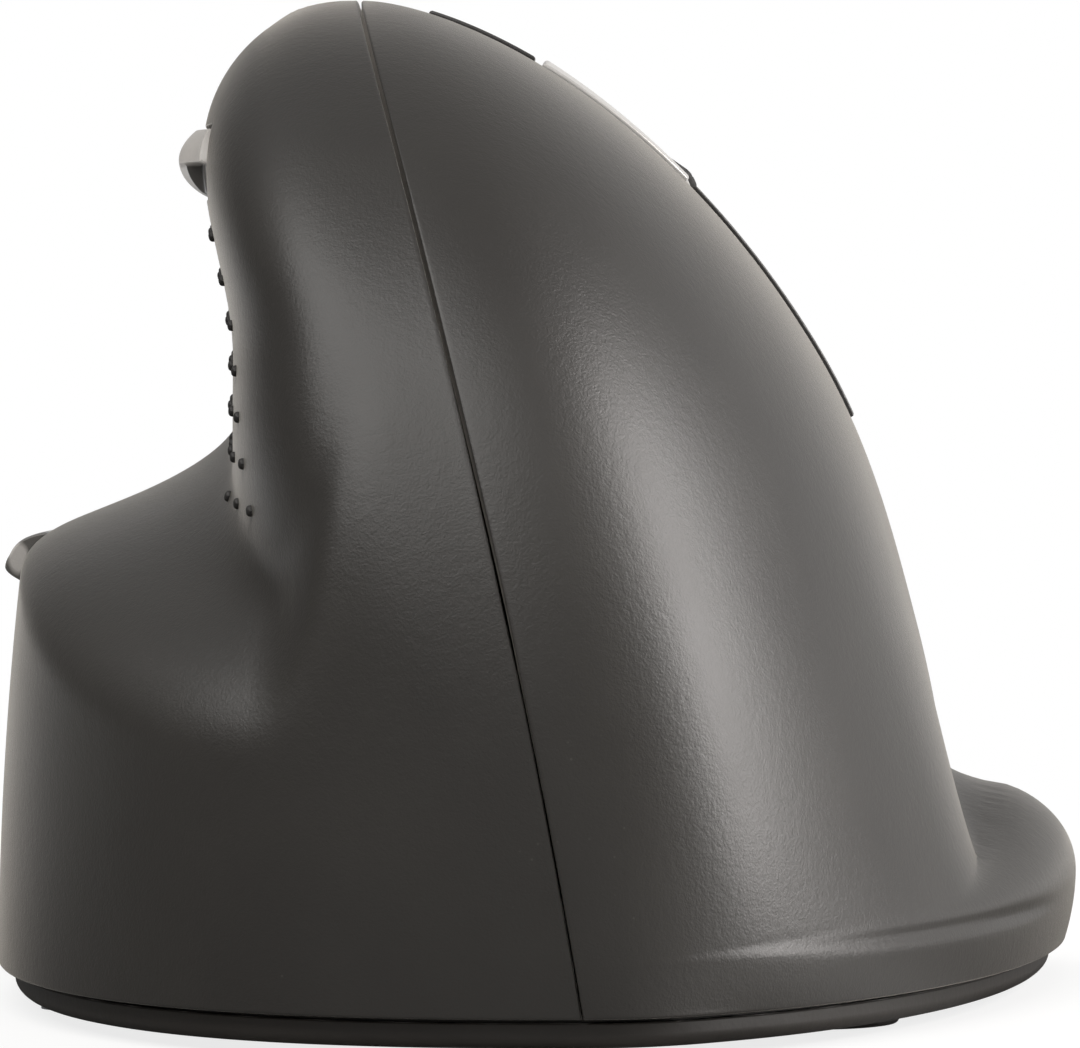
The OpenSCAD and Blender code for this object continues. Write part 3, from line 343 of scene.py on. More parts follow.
PORT_X, PORT_LOW, SOCKET = -9.0, 8.6, (9.0, 7.4, 3.3)
port_phi = angle_across(PORT_X + np.array([5.7, -5.7]), PORT_LOW + SOCKET[2] / 2)
port_z = (PORT_LOW - 0.7, PORT_LOW + SOCKET[2] + 0.7)
upper_phi, upper_z = (154.0, 241.0), (56.6, 61.8)
lower_phi, lower_z = (148.0, 181.0), (28.8, 33.2)

edges = [90, *port_phi, *upper_phi, *lower_phi, 270]
phis = crowd(sorted(edges), 1.25, edges, 0.8)
crown = mix(upper_z[1], BODY_H, np.sin(np.linspace(0, 1, 30) * np.pi / 2))
heights = np.concatenate([
    crowd([SHELL_Z, *port_z, lower_z[0]], 0.9, [SHELL_Z, *port_z, lower_z[0]], 0.35),
    crowd([*lower_z, 47, upper_z[0]], 0.36, [*lower_z, upper_z[0]], 0.35),
    crowd(list(upper_z), 0.5, upper_z, 0.35), upper_z[1] + 0.35 * np.array([0.1, 0.3, 0.6, 1.0]), crown])
heights = np.unique(np.round(heights, 6))
PHI, Z = np.meshgrid(phis, heights)
outer = skin(THUMB, PHI, Z, seam_width(Z))
normals = outward(outer)
normals[-1] = (0, 0, 1)
flat = normals[0] * (1, 1, 0)
normals[0] = flat / np.linalg.norm(flat, axis=-1, keepdims=True)
mid_phi, mid_z = np.meshgrid((phis[:-1] + phis[1:]) / 2, (heights[:-1] + heights[1:]) / 2)


def within(p, z, angles, levels):
    return (p > min(angles)) & (p < max(angles)) & (z > levels[0]) & (z < levels[1])


solid = ~(within(mid_phi, mid_z, upper_phi, upper_z) | within(mid_phi, mid_z, lower_phi, lower_z)
          | within(mid_phi, mid_z, port_phi, port_z))
inner = outer - normals * WALL
openings = open_edge(solid, outer)
rims = np.vstack([outer[:, 0], outer[:, -1], outer[0]])
outer = roll(roll(outer, normals, openings, 0.18), normals, rims, 0.16)
thumb_shell = fill("thumb_shell_skin", *join(sheet(outer, inner, solid, True), boss(THUMB, 150), boss(THUMB, 222)),
                   "body", "soft_shell", ["thumb_shell"])

# %% [markdown]
# The palm half leans outward to the flange, which stops the little finger from dragging on the desk. One
# large opening takes the two finger buttons and the strip between them. Below z = 16 mm the rows are level,
# so that the rim of the flange stays crisp, and above that they slant into the lines of the finger buttons.

# %% Palm shell
finger_phi = (-12.0, 76.0)
INDEX_TOP, INDEX_LOW, STRIP_LOW, MIDDLE_LOW = (row_of(drop) for drop in (0.8, 4.5, 13.2, 30.3))
phis = crowd([-90, *finger_phi, 90], 1.15, [-90, *finger_phi, 90], 0.45)
low = crowd([SHELL_Z, RIM_Z - 1, RIM_Z + 1.2, 16], 0.3, [SHELL_Z], 0.35)
low = np.unique(np.concatenate([low, np.linspace(RIM_Z - 1, RIM_Z + 1.2, 18)]))
rows = crowd([MIDDLE_LOW, STRIP_LOW, INDEX_LOW, INDEX_TOP], 0.011, [MIDDLE_LOW, INDEX_TOP], 0.005)[::-1]
above = INDEX_TOP * np.concatenate([[0.97, 0.9, 0.8, 0.7], np.linspace(0.77, 0, 16) ** 2])
above = np.unique(above)[::-1]
beside = MIDDLE_LOW + 0.005 * np.array([1.1, 0.8, 0.5, 0.25, 0.08])
slant = row_z(phis[None], np.concatenate([beside, rows, above])[:, None])
rise = np.linspace(0, 1, 34)[1:-1, None]
level = np.repeat(low[:, None], len(phis), 1)
Z = np.vstack([level, mix(level[-1:], slant[:1], rise), slant])
PHI = np.repeat(phis[None], len(Z), 0)
outer = skin(PALM, PHI, Z, seam_width(Z), 0.5)
normals = outward(outer)
normals[-1] = (0, 0, 1)
flat = normals[0] * (1, 1, 0)
normals[0] = flat / np.linalg.norm(flat, axis=-1, keepdims=True)
first = len(Z) - len(slant) + len(beside)
mid_row = np.zeros(len(Z) - 1, bool)
mid_row[first:first + len(rows) - 1] = True
mid_phi = (phis[:-1] + phis[1:]) / 2
solid = ~(mid_row[:, None] & ((mid_phi > finger_phi[0]) & (mid_phi < finger_phi[1]))[None])
inner = outer - normals * WALL
openings = open_edge(solid, outer)
rims = np.vstack([outer[:, 0], outer[:, -1], outer[0]])
outer = roll(roll(outer, normals, openings, 0.3), normals, rims, 0.16)
palm_shell = fill("palm_shell_skin", *join(sheet(outer, inner, solid, True), boss(PALM, -62), boss(PALM, 52)),
                  "body", "soft_shell", ["palm_shell"])

# %% [markdown]
# The finger buttons and the strip are pieces of the same surface, cut out with a fine open line round them.
# To keep that line even, the edge of the patch moves in by the same distance in millimetres everywhere,
# which takes a different step in phi at each height: the step is the gap divided by the length of the
# surface's own tangent.

# %% Patches of the surface
BUTTON_GAP = 0.35


def tangent(at, p, q, d_p, d_q):
    """Length of the surface's tangent, per unit of parameter, by central difference."""
    return np.linalg.norm(at(p + d_p, q + d_q) - at(p - d_p, q - d_q), axis=-1) / (2 * (d_p + d_q))


def patch(at, phi_span, q_span, columns, rows, radius, proud, depth, solid=None, q_lines=None):
    """A plate of the surface at(phi, q): its four edges move in by the gap, its outer face stands out by proud along
    the normals, its inner face lies depth below, and its edges are rolled. q_lines may bend the rows."""
    phi, q = np.meshgrid(mix(*phi_span, columns), mix(*q_span, rows))
    q = q if q_lines is None else q_lines(phi, rows[:, None] + 0 * phi)
    dq = (q_span[1] - q_span[0]) * 1e-3
    stretch = tangent(at, phi, q, 0.05, 0)
    slope = tangent(at, phi, q, 0, abs(dq))
    centre = 1 - 2 * np.clip(columns, 0, 1)[None]
    phi = phi + np.sign(phi_span[1] - phi_span[0]) * BUTTON_GAP / stretch * centre
    q = q + np.sign(q_span[1] - q_span[0]) * BUTTON_GAP / slope * (1 - 2 * rows[:, None])
    face = at(phi, q)
    normals = outward(face)
    stand = proud(columns[None], rows[:, None])[..., None] if callable(proud) else proud
    outer, inner = face + normals * stand, face - normals * depth
    solid = np.ones((len(rows) - 1, len(columns) - 1), bool) if solid is None else solid
    edge = np.vstack([outer[0], outer[-1], outer[:, 0], outer[:, -1]])
    edge = np.vstack([edge, open_edge(solid, outer)])
    return sheet(roll(outer, outward(outer), edge, radius), inner, solid)


def palm_at(phi, row):
    return skin(PALM, phi, row_z(phi, row))


def thumb_at(phi, z):
    return skin(THUMB, phi, z)


DECK = np.array([[7.77516, 23.0295, 57.3884], [0.765099, -0.356602, -0.536152], [0.121462, 0.897625, -0.423694],
                 [0.632353, 0.259046, 0.730085]])
deck_at, deck_axes = DECK[0], DECK[1:]


def in_deck(points):
    """Coordinates in the deck's frame: x across the strip, y along it, z out of it."""
    return (points - deck_at) @ deck_axes.T


def hinge(pin, at, root_z):
    """The hidden part of a finger button: a hub round its pin, a web up to the plate and a stem over the switch."""
    pin, at = np.array(pin), np.array(at)
    hub = turned([(1.05, -2), (2.5, -2), (2.5, 2), (1.05, 2)], [pin @ deck_axes + deck_at], [deck_axes[1]],
                 [deck_axes[2]], [deck_axes[0]], 24)
    web = block(pin @ deck_axes + deck_at, deck_axes, (-2, -1.2, 1.6), (2, 1.2, root_z - pin[2] - 1))
    foot = -14.4 + 6.5 + 0.4712 + 0.3
    stem = turned([(0, foot), (1.2, foot), (1.2, at[2] - 1), (0, at[2] - 1)],
                  [np.array([at[0], at[1], 0]) @ deck_axes + deck_at], [deck_axes[0]], [deck_axes[1]],
                  [deck_axes[2]], 16)
    return hub, web, stem


columns = crowd([0, 1], 0.012, [0, 1], 0.006)
index_button = fill("index_button_plate", *join(
    patch(palm_at, finger_phi, (INDEX_LOW, INDEX_TOP), columns, crowd([0, 1], 0.05, [0, 1], 0.06), 0.2, 0.3, 1.8),
    *hinge((-7.317, -22.169, -11.411), (-8.800, -0.453, -0.873), -3.7)), "index_button", "button", ["index_button"])
middle_button = fill("middle_button_plate", *join(
    patch(palm_at, finger_phi, (MIDDLE_LOW, STRIP_LOW), columns, crowd([0, 1], 0.025, [0, 1], 0.022), 0.2, 0.3, 1.8),
    *hinge((16.427, -7.477, -10.849), (11.196, 17.108, -2.867), -3.1)), "middle_button", "button", ["middle_button"])

# %% [markdown]
# The pale strip between the finger buttons stands a millimetre proud and has a slot for the wheel. The slot
# is straight in the wheel's own frame, while the strip bends, so the rows of the grid are bent to meet it:
# along the slot two of the rows run at a fixed distance from the wheel's middle plane, and they ease back
# to even rows at both ends.

# %% Centre strip
SLOT_X, SLOT_Y = 3.2, 12.0
EDGE_SHARE = 0.06


def row_at_x(phi, x):
    """Row where the surface passes a given x of the deck's frame, by halving the interval."""
    low, high = np.full(np.shape(phi), INDEX_LOW * 0.3), np.full(np.shape(phi), STRIP_LOW * 1.6)
    for _ in range(30):
        mid = (low + high) / 2
        short = in_deck(palm_at(phi, mid))[..., 0] < x
        low, high = np.where(short, mid, low), np.where(short, high, mid)
    return (low + high) / 2


def phi_at_y(y):
    """Angle where the middle of the slot passes a given y of the deck's frame, read off a fine table."""
    fine = np.linspace(*finger_phi, 400)
    return float(np.interp(y, in_deck(palm_at(fine, row_at_x(fine, 0 * fine)))[:, 1], fine))


slot_phi = (phi_at_y(-SLOT_Y), phi_at_y(SLOT_Y))
slot_u = [(phi - finger_phi[0]) / (finger_phi[1] - finger_phi[0]) for phi in slot_phi]
middle_phi = (slot_phi[0] + slot_phi[1]) / 2
slot_v = [(STRIP_LOW - float(row_at_x(np.array(middle_phi), x))) / (STRIP_LOW - INDEX_LOW)
          for x in (SLOT_X, -SLOT_X)]


def slot_rows(phi, v):
    """Rows of the strip: the two rows at the slot's sides follow it but keep off the strip's edges, and the rest
    share the room between."""
    along = ease((phi - slot_phi[0] + 9) / 8) * ease((slot_phi[1] + 9 - phi) / 8)
    even = [STRIP_LOW + (INDEX_LOW - STRIP_LOW) * side for side in slot_v]
    bent = [mix(flat, row_at_x(phi, x + 0 * phi), along) for flat, x in zip(even, (SLOT_X, -SLOT_X))]
    edges = sorted(mix(STRIP_LOW, INDEX_LOW, share) for share in (EDGE_SHARE, 1 - EDGE_SHARE))
    bent = [np.clip(row, *edges) for row in bent]
    below = mix(STRIP_LOW, bent[0], v / slot_v[0])
    between = mix(bent[0], bent[1], (v - slot_v[0]) / (slot_v[1] - slot_v[0]))
    over = mix(bent[1], INDEX_LOW, (v - slot_v[1]) / (1 - slot_v[1]))
    return np.where(v < slot_v[0], below, np.where(v < slot_v[1], between, over))


columns = crowd([0, *slot_u, 1], 0.012, [0, *slot_u, 1], 0.006)
rows = crowd([0, *slot_v, 1], 0.04, [0, *slot_v, 1], 0.035)
u, v = (columns[:-1] + columns[1:]) / 2, (rows[:-1] + rows[1:]) / 2
solid = ~((v > slot_v[0]) & (v < slot_v[1]))[:, None] | ~((u > slot_u[0]) & (u < slot_u[1]))[None]


def ramp(u, v):
    """The strip rises out of the shell: 0.3 mm proud at its rear end, and a millimetre halfway along."""
    return 0.3 + 0.7 * ease(u / 0.5) + 0 * v


centre_strip = fill("centre_strip_plate", *patch(palm_at, finger_phi, (STRIP_LOW, INDEX_LOW), columns, rows, 0.25,
                                                 ramp, 2.0, solid, slot_rows), "body", "strip", ["centre_strip"])

# %% [markdown]
# The thumb buttons are proud bars, so that the thumb rolls onto them. The upper one is long and ends in a
# slope with a cut below it. Two legs behind each bar hook inside the shell, and a short stem presses a
# small switch. The lower bar slides askew to two of its walls, so those two edges are drawn in a little to
# stay clear of the opening.

# %% Thumb buttons
CUT_U, CUT_RUN, CUT_V = 0.935, 0.012, 0.44


def bulge(peak, turn):
    """Share of the full height over a bar's width: a sine up to the peak, then a cosine that turns by an angle."""
    return lambda u, v: 0 * u + np.maximum(0.1, np.where(v < peak, np.sin(np.pi / 2 * v / peak) ** 0.8,
                                                         np.cos(np.radians(turn) * (v - peak) / (1 - peak))))


def notched(peak, turn):
    """The same bar with a rear end: its upper half slopes down to the shell, its lower half is cut off short."""
    slope = lambda u: 1 - 0.7 * ease((u - 0.9) / 0.1)
    cut = lambda u: (1 - 0.28 * ease((u - 0.84) / 0.1)) * (1 - 0.88 * ease((u - CUT_U) / CUT_RUN))
    return lambda u, v: bulge(peak, turn)(u, v) * mix(cut(u), slope(u), ease((v - CUT_V) / 0.06))


def thumb_button(name, body, phi_span, z_span, proud, profile, place):
    """A domed bar in the shell's opening, with its two hooked legs and its stem behind it."""
    at, axes = np.array(place[0]), np.array(place[1:])
    stops_u, stops_v = [0, CUT_U, CUT_U + CUT_RUN, 1], [0, CUT_V, CUT_V + 0.06, 1]
    columns, rows = crowd(stops_u, 0.015, stops_u, 0.01), crowd(stops_v, 0.03, stops_v, 0.04)
    bar = patch(thumb_at, phi_span, z_span, columns, rows, 0.2, lambda u, v: proud * profile(u, v), 1.4)
    ends = (thumb_at(np.array(phi_span), np.full(2, at[2])) - at) @ axes.T
    stem = turned([(0, -4.95), (1, -4.95), (1, -1.4), (0, -1.4)], [at], [axes[0]], [axes[1]], [axes[2]], 16)
    parts = [bar, stem]
    for (_, y, z), inward in ((ends[0], -1), (ends[1], 1)):
        hook = z - WALL - 0.9
        outer_y, near_y, far_y = y - 1.2 * inward, y + 1.5 * inward, y + 4.5 * inward
        parts.append(block(at, axes, (-0.9, min(near_y, far_y), hook - 1), (0.9, max(near_y, far_y), z - 0.35)))
        parts.append(block(at, axes, (-0.9, min(outer_y, far_y), hook - 1), (0.9, max(outer_y, far_y), hook)))
    return fill(name, *join(*parts), body, "thumb_button", [body])


UPPER = [[-24.2197, 5.26554, 59.5], [-0.0608, 0.000459309, 0.99815], [0.00755421, 0.999971, 0],
         [-0.998121, 0.00754024, -0.0608017]]
LOWER = [[-37.3039, 15.5625, 30], [0.117331, -0.00639614, 0.993072], [0.0544327, 0.998517, 0],
         [-0.9916, 0.0540556, 0.117505]]
BAR_PROUD, DRAW_PHI, DRAW_Z = 1.7, 0.5, 0.25
upper_button = thumb_button("upper_thumb_bar", "upper_thumb_button", upper_phi, upper_z, BAR_PROUD,
                            notched(0.55, 72), UPPER)
lower_button = thumb_button("lower_thumb_bar", "lower_thumb_button", (lower_phi[0] + DRAW_PHI, lower_phi[1]),
                            (lower_z[0], lower_z[1] - DRAW_Z), BAR_PROUD, bulge(0.3, 86), LOWER)

# %% [markdown]
# Small rubber studs on the waist keep the thumb from slipping. All of them are one turned profile, a short
# pillar with a rounded top, set at every place at once: the frames of all the studs are arrays, and one
# product turns them.

# %% Grip studs
def angle_at(y, z):
    """Angle on the thumb half where the outline passes y at height z, by halving the interval."""
    low, high = np.full(np.shape(y), 95.0), np.full(np.shape(y), 265.0)
    for _ in range(28):
        mid = (low + high) / 2
        ahead = skin(THUMB, mid, z)[..., 1] > y
        low, high = np.where(ahead, mid, low), np.where(ahead, high, mid)
    return (low + high) / 2


step, drop = np.meshgrid(np.arange(10), 3.1 * np.arange(7))
stud_y, stud_z = -21 - 1.45 * drop + 0.017 * drop**2 + 7 * step, 54 - drop + 0.35 * step
stud_phi = angle_at(stud_y, stud_z)
round_body = skin(THUMB, stud_phi + 0.4, stud_z) - skin(THUMB, stud_phi - 0.4, stud_z)
up_body = skin(THUMB, stud_phi, stud_z + 0.15) - skin(THUMB, stud_phi, stud_z - 0.15)
out = np.cross(round_body, up_body)
out /= np.linalg.norm(out, axis=-1, keepdims=True)
side_x = round_body / np.linalg.norm(round_body, axis=-1, keepdims=True)
keep = (stud_y < 12) & (out[..., 2] < 0.45)
place, out, side_x = skin(THUMB, stud_phi, stud_z)[keep], out[keep], side_x[keep]
print(len(place), "studs")
pillar = [(0, -0.6), (0.4, -0.6), (0.4, 0.1), (0.36, 0.22), (0.25, 0.31), (0.1, 0.345), (0, 0.35)]
grip_studs = fill("grip_stud_rows", *turned(pillar, place, side_x, np.cross(out, side_x), out, 10), "body", "stud",
                  ["grip_studs"])

# %% [markdown]
# The scroll wheel's tyre is moulded rubber with a ribbed tread. Its outline is a rounded rectangle carried
# round the axle, and the tread's radius dips between the ribs.

# %% Wheel tyre
WHEEL_R, TYRE_T, WHEEL_W, RIBS = 11.0, 2.4, 5.2, 40
axle = np.array([2.71633, 20.9571, 51.5477])
corner = np.linspace(0, np.pi / 2, 6)
across = np.concatenate([-WHEEL_W / 2 + 0.7 * (1 - np.sin(corner[::-1])), np.linspace(-1.7, 1.7, 7),
                         WHEEL_W / 2 - 0.7 * (1 - np.sin(corner))])
across = np.unique(np.round(across, 5))
shoulder = np.clip((np.abs(across) - (WHEEL_W / 2 - 0.7)) / 0.7, 0, 1)
crest = WHEEL_R - 0.7 * (1 - np.sqrt(1 - shoulder**2))
turn = np.linspace(0, 2 * np.pi, RIBS * 8, endpoint=False)
groove = 0.4 * (1 - np.clip(2.4 * np.abs(np.sin(turn * RIBS / 2)), 0, 1) ** 2)
tread = crest[:, None] - groove[None] * (1 - shoulder[:, None] ** 2)
inside = np.full((2, len(turn)), WHEEL_R - TYRE_T)
radius = np.vstack([inside[:1], tread, inside[1:]])
x = np.concatenate([[-WHEEL_W / 2], across, [WHEEL_W / 2]])
points = (axle + x[:, None, None] * deck_axes[0] + (radius * np.cos(turn))[..., None] * deck_axes[1]
          + (radius * np.sin(turn))[..., None] * deck_axes[2])
index = np.arange(points.shape[0] * len(turn)).reshape(-1, len(turn))
loop = np.roll(index, -1, 0)
quads = np.stack([index, loop, np.roll(loop, -1, 1), np.roll(index, -1, 1)], -1).reshape(-1, 4)[:, ::-1]
wheel_tyre = fill("wheel_tyre_tread", points.reshape(-1, 3), quads.tolist(), "wheel", "tyre", ["wheel_tyre"], 40)

# %% [markdown]
# Under the base are four slippery glide feet, thin discs with a rounded lower edge. Round the base runs a
# band that is bevelled inward, so that the mouse seems to float: it is one profile carried along the
# outline of the shells' foot.

# %% Glide feet and base band
feet = np.array([[sx * 17.3058, sy * 26.5471, 0] for sx in (1, -1) for sy in (1, -1)])
bow = np.linspace(0, np.pi / 2, 6)
disc = [(0, 0), *[(6.65 + 0.35 * np.sin(t), 0.35 * (1 - np.cos(t))) for t in bow], (7, 0.8), (0, 0.8)]
axes = np.eye(3)[:, None].repeat(4, 1)
glide_feet = fill("glide_foot_discs", *turned(disc, feet, *axes, 64), "body", "glide", ["glide_feet"])

foot_phi = np.concatenate([np.linspace(-90, 90, 181), np.linspace(90, 270, 181)])
half = np.repeat([PALM, THUMB], 181)
foot = np.where(half[:, None] == PALM, skin(PALM, foot_phi, 0 * foot_phi + SHELL_Z),
                skin(THUMB, foot_phi, 0 * foot_phi + SHELL_Z))
along = np.roll(foot, -1, 0) - np.roll(foot, 1, 0)
out = np.stack([along[:, 1], -along[:, 0], 0 * along[:, 0]], -1)
out /= np.linalg.norm(out, axis=-1, keepdims=True)
swell = np.linspace(0, np.pi / 2, 8)
band = [(2.2, 2.5), (2.2, 0.79), (2.05, 0.79), *[(2.05 - 0.88 * np.sin(t), 0.79 + 0.95 * (1 - np.cos(t)) ** 0.85)
                                                 for t in swell], (1.17, 2.38), (1.23, 2.47), (1.35, 2.5)]
inset, level = np.array(band).T
points = foot[None] * (1, 1, 0) - out[None] * inset[:, None, None] + np.array([0, 0, 1]) * level[:, None, None]
index = np.arange(points.shape[0] * len(foot)).reshape(-1, len(foot))
loop = np.roll(index, -1, 0)
quads = np.stack([index, np.roll(index, -1, 1), np.roll(loop, -1, 1), loop], -1).reshape(-1, 4)
base_band = fill("base_band_loft", points.reshape(-1, 3), quads.tolist(), "body", "base")

# %% [markdown]
# Inside the charging socket a thin dark tongue carries the contacts. The socket itself stays as the solid:
# a plain metal can is what the real one is.

# %% Socket tongue
socket_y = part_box("charge_socket")[1].y / MM
socket_at = np.array([PORT_X, socket_y, PORT_LOW + SOCKET[2] / 2])
tongue = block(socket_at, np.eye(3), (-3.2, -6.3, -0.35), (3.2, -1.2, 0.35))
socket_tongue = fill("socket_tongue", *tongue, "body", "black_part")

# %% [markdown]
# Materials come next. Node trees are easier to read as sums and products than as a web of links, so a small
# class wraps a socket and overloads the operators: an expression such as 1 - grain * 0.2 adds its own Math
# nodes. Colours never go through Math nodes, which would turn them grey; they are mixed with Mix nodes.

# %% A finish as an expression
class Value:
    """A number that varies over the surface. Each operator adds one Math node to the finish that it belongs to."""

    def __init__(self, finish, socket):
        self.finish, self.socket = finish, socket

    def math(self, operation, a, b):
        return self.finish.node("ShaderNodeMath", {"operation": operation}, {0: a, 1: b})

    def __add__(self, other):
        return self.math("ADD", self, other)

    def __sub__(self, other):
        return self.math("SUBTRACT", self, other)

    def __rsub__(self, other):
        return self.math("SUBTRACT", other, self)

    def __mul__(self, other):
        return self.math("MULTIPLY", self, other)

    __radd__, __rmul__ = __add__, __mul__


class Finish:
    """One material, or the world. node() makes any node: its settings first, then the values or links of its
    sockets; it gives back the named output as a Value."""

    def __init__(self, owner, tree, output):
        self.owner, self.tree = owner, tree
        tree.nodes.clear()
        self.out = tree.nodes.new(output)

    def node(self, kind, settings=None, inputs=None, output=0):
        made = self.tree.nodes.new(kind)
        for key, value in (settings or {}).items():
            setattr(made, key, value)
        for key, value in (inputs or {}).items():
            self.put(made.inputs[key], value)
        return Value(self, made.outputs[output])

    def put(self, socket, value):
        if isinstance(value, Value):
            self.tree.links.new(value.socket, socket)
        else:
            socket.default_value = value

    def place(self):
        """Object coordinates, in metres."""
        return self.node("ShaderNodeTexCoord", output="Object")

    def noise(self, scale, detail=2.0, rough=0.5):
        return self.node("ShaderNodeTexNoise", {"noise_dimensions": "3D"},
                         {"Vector": self.place(), "Scale": scale, "Detail": detail, "Roughness": rough}, "Fac")

    def cells(self, scale):
        return self.node("ShaderNodeTexVoronoi", {"feature": "F1"}, {"Vector": self.place(), "Scale": scale},
                         "Distance")

    def limit(self, value, low, high):
        """Stretch the range from low to high onto 0 to 1, and hold it there."""
        return self.node("ShaderNodeMapRange", {"clamp": True}, {"Value": value, "From Min": low, "From Max": high})

    def blend(self, factor, a, b):
        """Mix two colours: inputs 0, 6 and 7 of a Mix node set to colours, and its third output."""
        return self.node("ShaderNodeMix", {"data_type": "RGBA"}, {0: factor, 6: a, 7: b}, 2)

    def bump(self, height, distance, strength):
        return self.node("ShaderNodeBump", None, {"Height": height, "Distance": distance, "Strength": strength})

    def surface(self, **sockets):
        """End the finish in a Principled shader; a name's underscore stands for a space."""
        named = {key.replace("_", " "): value for key, value in sockets.items()}
        shader = self.node("ShaderNodeBsdfPrincipled", None, named)
        self.put(self.out.inputs["Surface"], shader)
        return self.owner


def finish(name):
    made = bpy.data.materials.new(name)
    made.use_nodes = True
    return Finish(made, made.node_tree, "ShaderNodeOutputMaterial")


def colour(red, green, blue):
    """A colour from screen values 0 to 255 to the linear light that a shader works in."""
    s = np.array([red, green, blue]) / 255
    linear = np.where(s <= 0.04045, s / 12.92, ((s + 0.055) / 1.055) ** 2.4)
    return (*linear.tolist(), 1.0)


# %% [markdown]
# Soft-touch paint is a warm dark grey that feels like rubber. It scatters light broadly, with a very fine
# grain that only shows where a highlight passes over it, faint clouds from handling, and a few lighter
# specks of dust. The grain goes through a Bump node, and clouds and dust change colour and roughness by a
# little.

# %% Plastics
def soft_touch(name, tone, shade, rough, grain=1.0, sheen=0.45):
    """Clouds of two warm greys, specks of dust, fine grain in the bump and small changes of roughness."""
    f = finish(name)
    clouds = f.limit(f.noise(45, 4, 0.55), 0.35, 0.68)
    specks = f.limit(f.cells(900), 0.10, 0.03) * f.limit(f.noise(160, 2), 0.56, 0.66)
    fine = f.noise(5200, 2, 0.6)
    base = f.blend(clouds * 0.7 + fine * 0.3, tone, shade)
    base = f.blend(specks * 0.10, base, colour(150, 145, 138))
    height = fine * 0.7 + f.noise(1500, 2, 0.5) * 0.6
    return f.surface(Base_Color=base, Roughness=rough - 0.03 + clouds * 0.05 + specks * 0.06,
                     Normal=f.bump(height, 0.00006 * grain, 0.55), IOR=1.5, Sheen_Weight=sheen,
                     Sheen_Roughness=0.2, Sheen_Tint=(1.0, 0.93, 0.84, 1.0))


def moulded(name, tone, shade, rough, scale=900.0, depth=0.00004, metallic=0.0):
    """Moulded plastic: two close tones in clouds, and a spark-eroded texture of small cells in the bump."""
    f = finish(name)
    clouds = f.limit(f.noise(60, 3), 0.3, 0.7)
    texture = f.noise(scale, 3, 0.6)
    return f.surface(Base_Color=f.blend(clouds * 0.6 + texture * 0.4, tone, shade),
                     Roughness=rough - 0.04 + clouds * 0.05 + texture * 0.05, Metallic=metallic,
                     Normal=f.bump(texture, depth, 0.5), IOR=1.48)


def lacquer_and_painted_shade(name):
    """Pale lacquer on the thumb buttons, and painted shade: the upper one's cut end and a band round the lower one's
    rear end get a dark colour for the shadow in the notch and the gap."""
    f = finish(name)
    y, z = (f.node("ShaderNodeSeparateXYZ", None, {"Vector": f.place()}, axis) for axis in "YZ")
    # painted shade: the upper bar's cut end is coloured dark as if in shadow
    cut = f.limit(y, -0.0160, -0.0164) * f.limit(z, 0.0592, 0.0589)
    middle, widths = (-0.03818, 0.0, 0.03097), (1 / 0.00075, 0.0, 1 / 0.00115)
    away = f.node("ShaderNodeVectorMath", {"operation": "SUBTRACT"}, {0: f.place(), 1: middle}, "Vector")
    away = f.node("ShaderNodeVectorMath", {"operation": "MULTIPLY"}, {0: away, 1: widths}, "Vector")
    # painted shade: a band round the lower bar's rear end is coloured dark as if in the gap's shadow
    rim = f.limit(f.node("ShaderNodeVectorMath", {"operation": "LENGTH"}, {0: away}, "Value"), 0.75, 1.15)
    rim = rim * f.limit(z, 0.045, 0.044) * f.limit(y, 0.0095, 0.0085)
    clouds, fine = f.limit(f.noise(45, 4, 0.55), 0.35, 0.68), f.noise(5200, 2, 0.6)
    pale = f.blend(clouds * 0.7 + fine * 0.3, colour(156, 153, 149), colour(170, 166, 162))
    # the dark colour is painted shade, laid over the pale lacquer by both masks
    base = f.blend(f.limit(cut + rim * 0.85, 0, 1), pale, colour(52, 50, 47))
    return f.surface(Base_Color=base, Roughness=0.33 + clouds * 0.05, Normal=f.bump(fine, 0.00004, 0.5), IOR=1.5)


shell_finish = soft_touch("soft_touch_shell", colour(37, 35, 33), colour(43, 41, 38), 0.42)
button_finish = soft_touch("soft_touch_button", colour(38, 36, 35), colour(43, 41, 39), 0.40)
# the thumb bars' dark end marks are painted shade
thumb_finish = lacquer_and_painted_shade("thumb_lacquer_painted_shade")
base_finish = moulded("base_plastic", colour(34, 31, 28), colour(43, 39, 35), 0.5, 1100, 0.00006)
strip_finish = moulded("strip_lacquer", colour(190, 188, 184), colour(204, 201, 197), 0.3, 2600, 0.00002, 0.5)
stud_finish = moulded("stud_rubber", colour(24, 22, 21), colour(32, 30, 28), 0.5, 2400)
tyre_finish = moulded("tyre_rubber", colour(26, 25, 24), colour(36, 34, 33), 0.62, 2000, 0.00008)
hub_finish = moulded("hub_plastic", colour(120, 118, 114), colour(136, 133, 129), 0.38, 1200)
frame_finish = moulded("frame_plastic", colour(52, 50, 48), colour(62, 60, 57), 0.55, 800, 0.00008)
black_finish = moulded("switch_plastic", colour(24, 24, 25), colour(33, 33, 34), 0.42, 1000)
plunger_finish = moulded("plunger_plastic", colour(196, 182, 140), colour(212, 199, 160), 0.35, 1500)
glide_finish = moulded("glide_plastic", colour(52, 50, 48), colour(62, 60, 58), 0.3, 1400, 0.00003)
cell_finish = moulded("cell_foil", colour(150, 152, 158), colour(170, 172, 178), 0.3, 700, 0.00005, 0.6)
print("plastics:", sorted(m.name for m in bpy.data.materials if m.users == 0))

# %% [markdown]
# Small metal parts, the circuit boards and the lens need finishes of their own: brushed steel has fine
# lines along its length, a board is solder mask over a weave of glass with copper tracks that show through,
# and the lens is clear plastic with a faint smoke tint.

